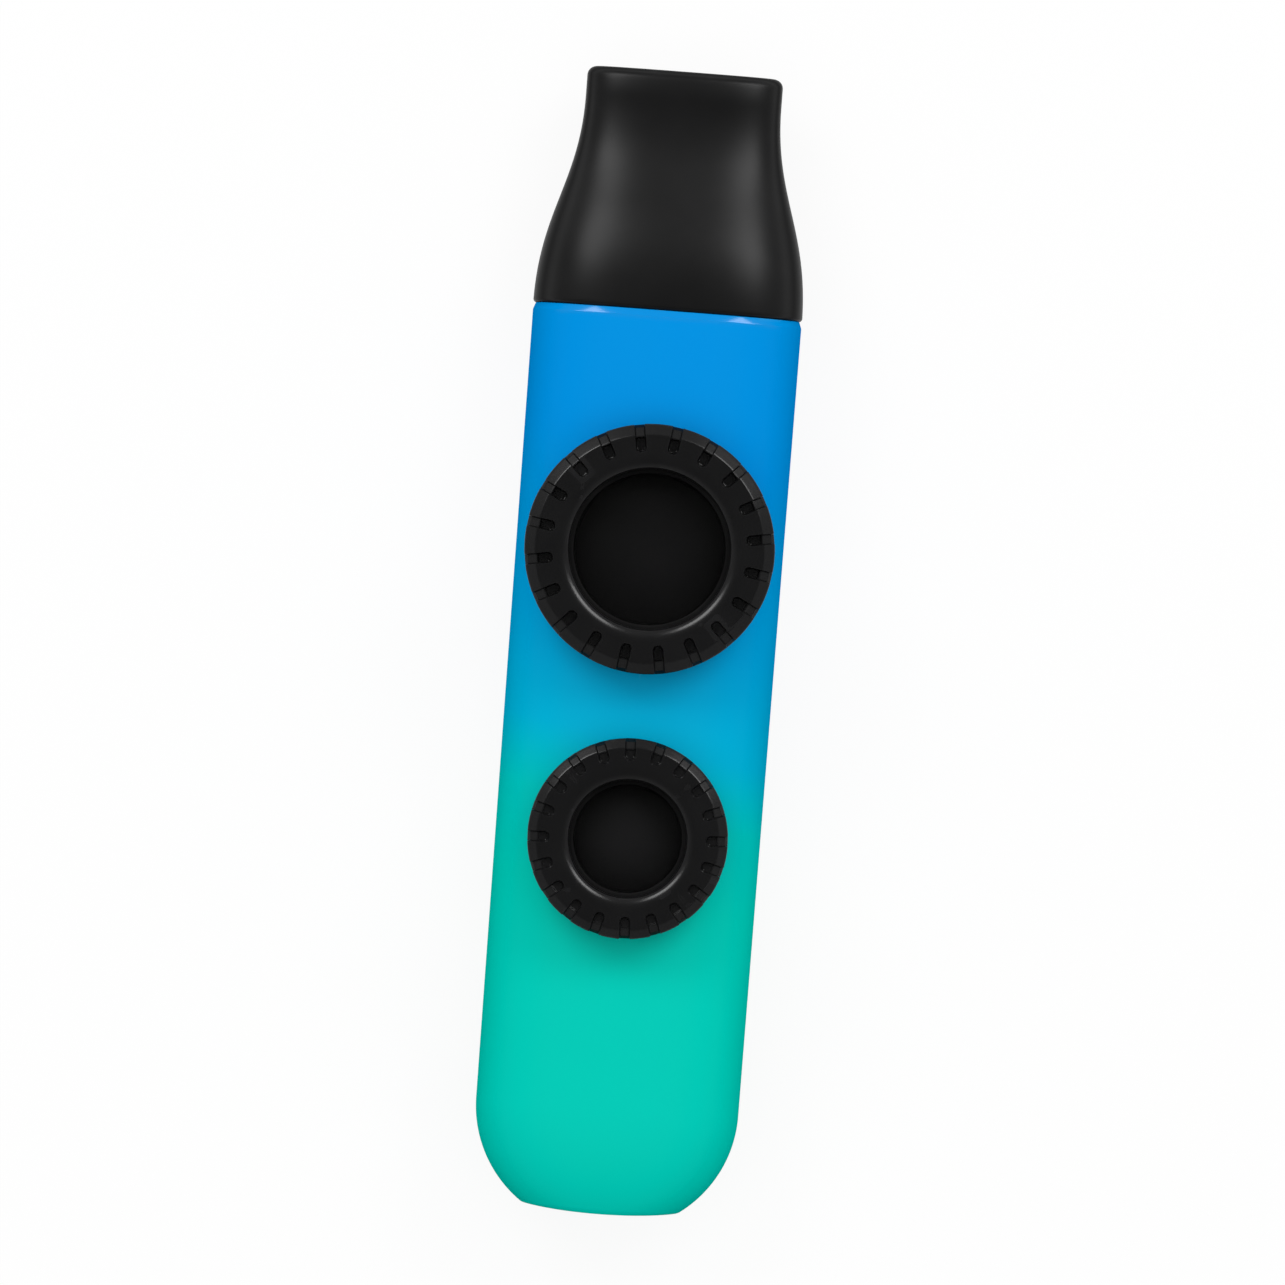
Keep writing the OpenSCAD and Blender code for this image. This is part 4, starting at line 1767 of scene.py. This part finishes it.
@dataclass
class Studio:
    """Pale floor, two soft boxes behind the mouthpiece's side and a camera overhead."""

    lamp_turn: float = 41.5
    lamp_lift: float = 44.5
    lamp_wide: float = 26.0
    lamp_tall: float = 18.0
    lamp_away: float = 1.1
    lamp_bright: float = 5.6
    lamp_soft_share: float = 0.04
    fill: float = 0.33
    fill_ahead_share: float = 0.6
    fill_side_share: float = 1.6
    overhead: float = 1.6
    overhead_from: float = 0.72
    overhead_full: float = 0.92
    walls: float = 0.22
    walls_to: float = 0.5
    zenith: float = 0.03
    zenith_from: float = 0.85
    horizon_from: float = 0.12
    horizon_full: float = 0.02
    floor_white: float = 0.9
    floor_gap: float = 0.02 * MM
    floor_radii: tuple[float, ...] = (0.02, 0.1, 0.3, 1.0, 4.0)
    floor_columns: int = 64
    floor_tones: tuple[float, float] = (0.84, 0.88)
    floor_cloud_scale: float = 12.0
    floor_hidden_tone: float = 0.5
    shadow_r: float = 0.11
    white_r: float = 0.3
    camera_height: float = 1.6
    camera_sensor: float = 36.0
    camera_clip: tuple[float, float] = (0.05, 20.0)
    frame_width: float = 143.0 * MM
    lean: float = 4.35

    def floor(self) -> None:
        """Lays the floor, which shows white and keeps the kazoo's soft shadow."""
        radius = np.array(self.floor_radii)
        path = np.stack([radius, np.full_like(radius, -self.floor_gap)], -1)
        draft = Draft()
        rows = draft.rows(revolve(path, (0.0, 0.0), self.floor_columns))
        draft.skin(rows)
        draft.fan(rows[0], (0.0, 0.0, -self.floor_gap), True)
        floor = draft.finish("floor")
        if floor.data.polygons[0].normal.z < 0:
            floor.data.flip_normals()
        material = bpy.data.materials.new("floor_white")
        material.use_nodes = True
        material.node_tree.nodes.clear()
        self.floor_shader(Graph(material.node_tree))
        floor.data.materials.append(material)
        floor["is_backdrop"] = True

    def floor_shader(self, graph: Graph) -> None:
        """Makes the floor's shader: white where it shows, mid grey to the light, clear from below.

        Args:
            graph: Graph of the floor's material.
        """
        place = graph.node("TexCoord").outputs["Object"]
        away = graph.node("VectorMath", {0: place}, operation="LENGTH").outputs["Value"]
        cloud = graph.noise(place, self.floor_cloud_scale, 2.0, 0.4)
        tone = graph.blend(cloud, *(grey(tone) for tone in self.floor_tones))
        lit = graph.node("BsdfDiffuse", {"Color": tone}).outputs[0]
        plain = graph.node("Emission", {"Color": grey(1.0), "Strength": 1.0}).outputs[0]
        far = graph.stretch(away, self.shadow_r, self.white_r)
        white = graph.math("MAXIMUM", far, self.floor_white)
        shown = graph.node("MixShader", {0: white, 1: lit, 2: plain}).outputs[0]
        unseen = graph.node("BsdfDiffuse", {"Color": grey(self.floor_hidden_tone)}).outputs[0]
        both = graph.node("MixShader", {0: graph.shown_ray(), 1: unseen, 2: shown}).outputs[0]
        below = graph.node("NewGeometry").outputs["Backfacing"]
        clear = graph.node("BsdfTransparent").outputs[0]
        above = graph.node("MixShader", {0: below, 1: both, 2: clear}).outputs[0]
        graph.node("OutputMaterial", {"Surface": above})

    def world(self) -> None:
        """Surrounds the scene with soft pale walls and a darker place over the camera."""
        made = bpy.data.worlds.new("studio_walls")
        made.use_nodes = True
        made.node_tree.nodes.clear()
        graph = Graph(made.node_tree)
        place = graph.node("TexCoord").outputs["Generated"]
        toward = graph.node("SeparateXYZ", {0: place}).outputs
        up = toward["Z"]
        high = graph.stretch(up, self.walls_to, self.zenith_from, self.walls, self.zenith)
        low = graph.stretch(up, self.horizon_from, self.horizon_full)
        share = graph.math("MULTIPLY", low, graph.shown_ray())
        extra = graph.math("MULTIPLY", share, graph.math("SUBTRACT", 1.0, high))
        shown = graph.math("ADD", high, extra)
        squared = graph.math("MULTIPLY", toward["X"], toward["X"])
        aside = graph.math("MULTIPLY", squared, self.fill_side_share)
        around = graph.math("MULTIPLY", graph.math("ADD", aside, self.fill_ahead_share), self.fill)
        over = graph.stretch(up, self.overhead_from, self.overhead_full, around, self.overhead)
        diffuse = graph.node("LightPath").outputs["Is Diffuse Ray"]
        soft = graph.math("MULTIPLY", diffuse, graph.math("SUBTRACT", over, shown))
        strength = graph.math("ADD", shown, soft)
        shader = graph.node("Background", {"Color": grey(1.0), "Strength": strength})
        graph.node("OutputWorld", {"Surface": shader.outputs[0]})
        bpy.context.scene.world = made

    def lamps(self) -> None:
        """Hangs the two soft boxes, aimed at the kazoo."""
        lift = math.radians(self.lamp_lift)
        wide, tall = (2 * self.lamp_away * math.tan(math.radians(span / 2))
                      for span in (self.lamp_wide, self.lamp_tall))
        for name, side in (("left", -1), ("right", 1)):
            turn = math.radians(self.lamp_turn) * side
            level = math.cos(lift)
            away = Vector((math.sin(turn) * level, math.cos(turn) * level, math.sin(lift)))
            data = bpy.data.lights.new(f"soft_box_{name}", "AREA")
            data.shape = "RECTANGLE"
            data.size, data.size_y = wide, tall
            data.energy = self.lamp_bright * math.pi * wide * tall
            data.diffuse_factor = self.lamp_soft_share
            lamp = bpy.data.objects.new(data.name, data)
            lamp.location = away * self.lamp_away
            lamp.rotation_mode = "QUATERNION"
            lamp.rotation_quaternion = away.to_track_quat("Z", "Y")
            lamp.visible_camera = False
            bpy.context.scene.collection.objects.link(lamp)

    def camera(self) -> None:
        """Sets the camera straight over the kazoo, turned so that it leans as in the photo."""
        low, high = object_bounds()
        middle = (low + high) / 2
        data = bpy.data.cameras.new("overhead")
        data.sensor_width = self.camera_sensor
        data.lens = self.camera_sensor * (self.camera_height - middle.z) / self.frame_width
        data.clip_start, data.clip_end = self.camera_clip
        camera = bpy.data.objects.new("overhead", data)
        camera.location = (middle.x, middle.y, self.camera_height)
        camera.rotation_euler = (0.0, 0.0, math.radians(self.lean))
        bpy.context.scene.collection.objects.link(camera)
        bpy.context.scene.camera = camera

    def build(self) -> None:
        """Sets up floor, walls, lamps, camera and the plain view of colours."""
        self.floor()
        self.world()
        self.lamps()
        self.camera()
        bpy.context.scene.view_settings.view_transform = "Standard"


def main() -> None:
    """Builds the kazoo round the frame, dresses it and sets up the studio."""
    logging.basicConfig(level=logging.INFO, format="%(name)s: %(message)s")
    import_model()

    mouth_black = BlackPlastic("mouthpiece_satin_black", 0.005, 0.0075, edge=0.013,
                               gloss=FacingGloss(0.55, 0.36),
                               grain=MouldedGrain(4200.0, 160.0, 0.4, 0.1))
    ring_black = BlackPlastic("ring_satin_black", 0.0065, 0.0095, edge=0.016,
                              gloss=FacingGloss(0.95, 0.22, 0.45, 0.75),
                              grain=MouldedGrain(3800.0, 220.0, 0.3, 0.08))
    turret_black = BlackPlastic("turret_black", 0.004, 0.007, gloss=FacingGloss(0.4, 0.5),
                                grain=MouldedGrain(3000.0, 200.0, 0.55, 0.1))
    clamp_black = BlackPlastic("clamp_black", 0.0035, 0.006, edge=0.008, edge_roughness=0.55,
                               gloss=FacingGloss(0.3, 0.55),
                               grain=MouldedGrain(3400.0, 240.0, 0.58, 0.1))
    inner_black = BlackPlastic("chamber_black", 0.003, 0.006, gloss=FacingGloss(0.4, 0.5),
                               grain=MouldedGrain(2400.0, 150.0, 0.55, 0.1))
    card = DarkCard()

    large = FilmHole("large", 13.85 * MM, 4.95 * MM, 2.57 * MM)
    small = FilmHole("small", 11.1 * MM, 4.6 * MM, 2.32 * MM)
    shell = BodyShell(pads=[large.pad(), small.pad()])
    shell.build(FadedPaint(shell.joint_y, shell.end_y), inner_black)
    Mouthpiece().build(mouth_black)
    # Middle tones of the two films, which carry their painted light.
    for hole, middle_tone_with_painted_light in ((large, 0.0075), (small, 0.0105)):
        film = SmokyFilm((*hole.centre, hole.film_z), hole.disc_r, middle_tone_with_painted_light, f"{hole.size}_smoky_film")
        hole.build(turret_black, clamp_black, card, film)
    ScrewRing("large", large.base_r, large.rim_w, large.skirt_wall, bevel=1.2 * MM,
              notch_len=1.65 * MM, notch_depth=1.1 * MM, notch_turn=9.0, mouth_w=1.5 * MM,
              mouth_h=0.75 * MM).build(ring_black)
    ScrewRing("small", small.base_r, small.rim_w, small.skirt_wall, bevel=1.0 * MM,
              notch_len=1.2 * MM, notch_depth=0.55 * MM, notch_turn=-2.5, mouth_w=1.4 * MM,
              mouth_h=0.7 * MM).build(ring_black)
    Studio().build()


if __name__ == "__main__":
    main()
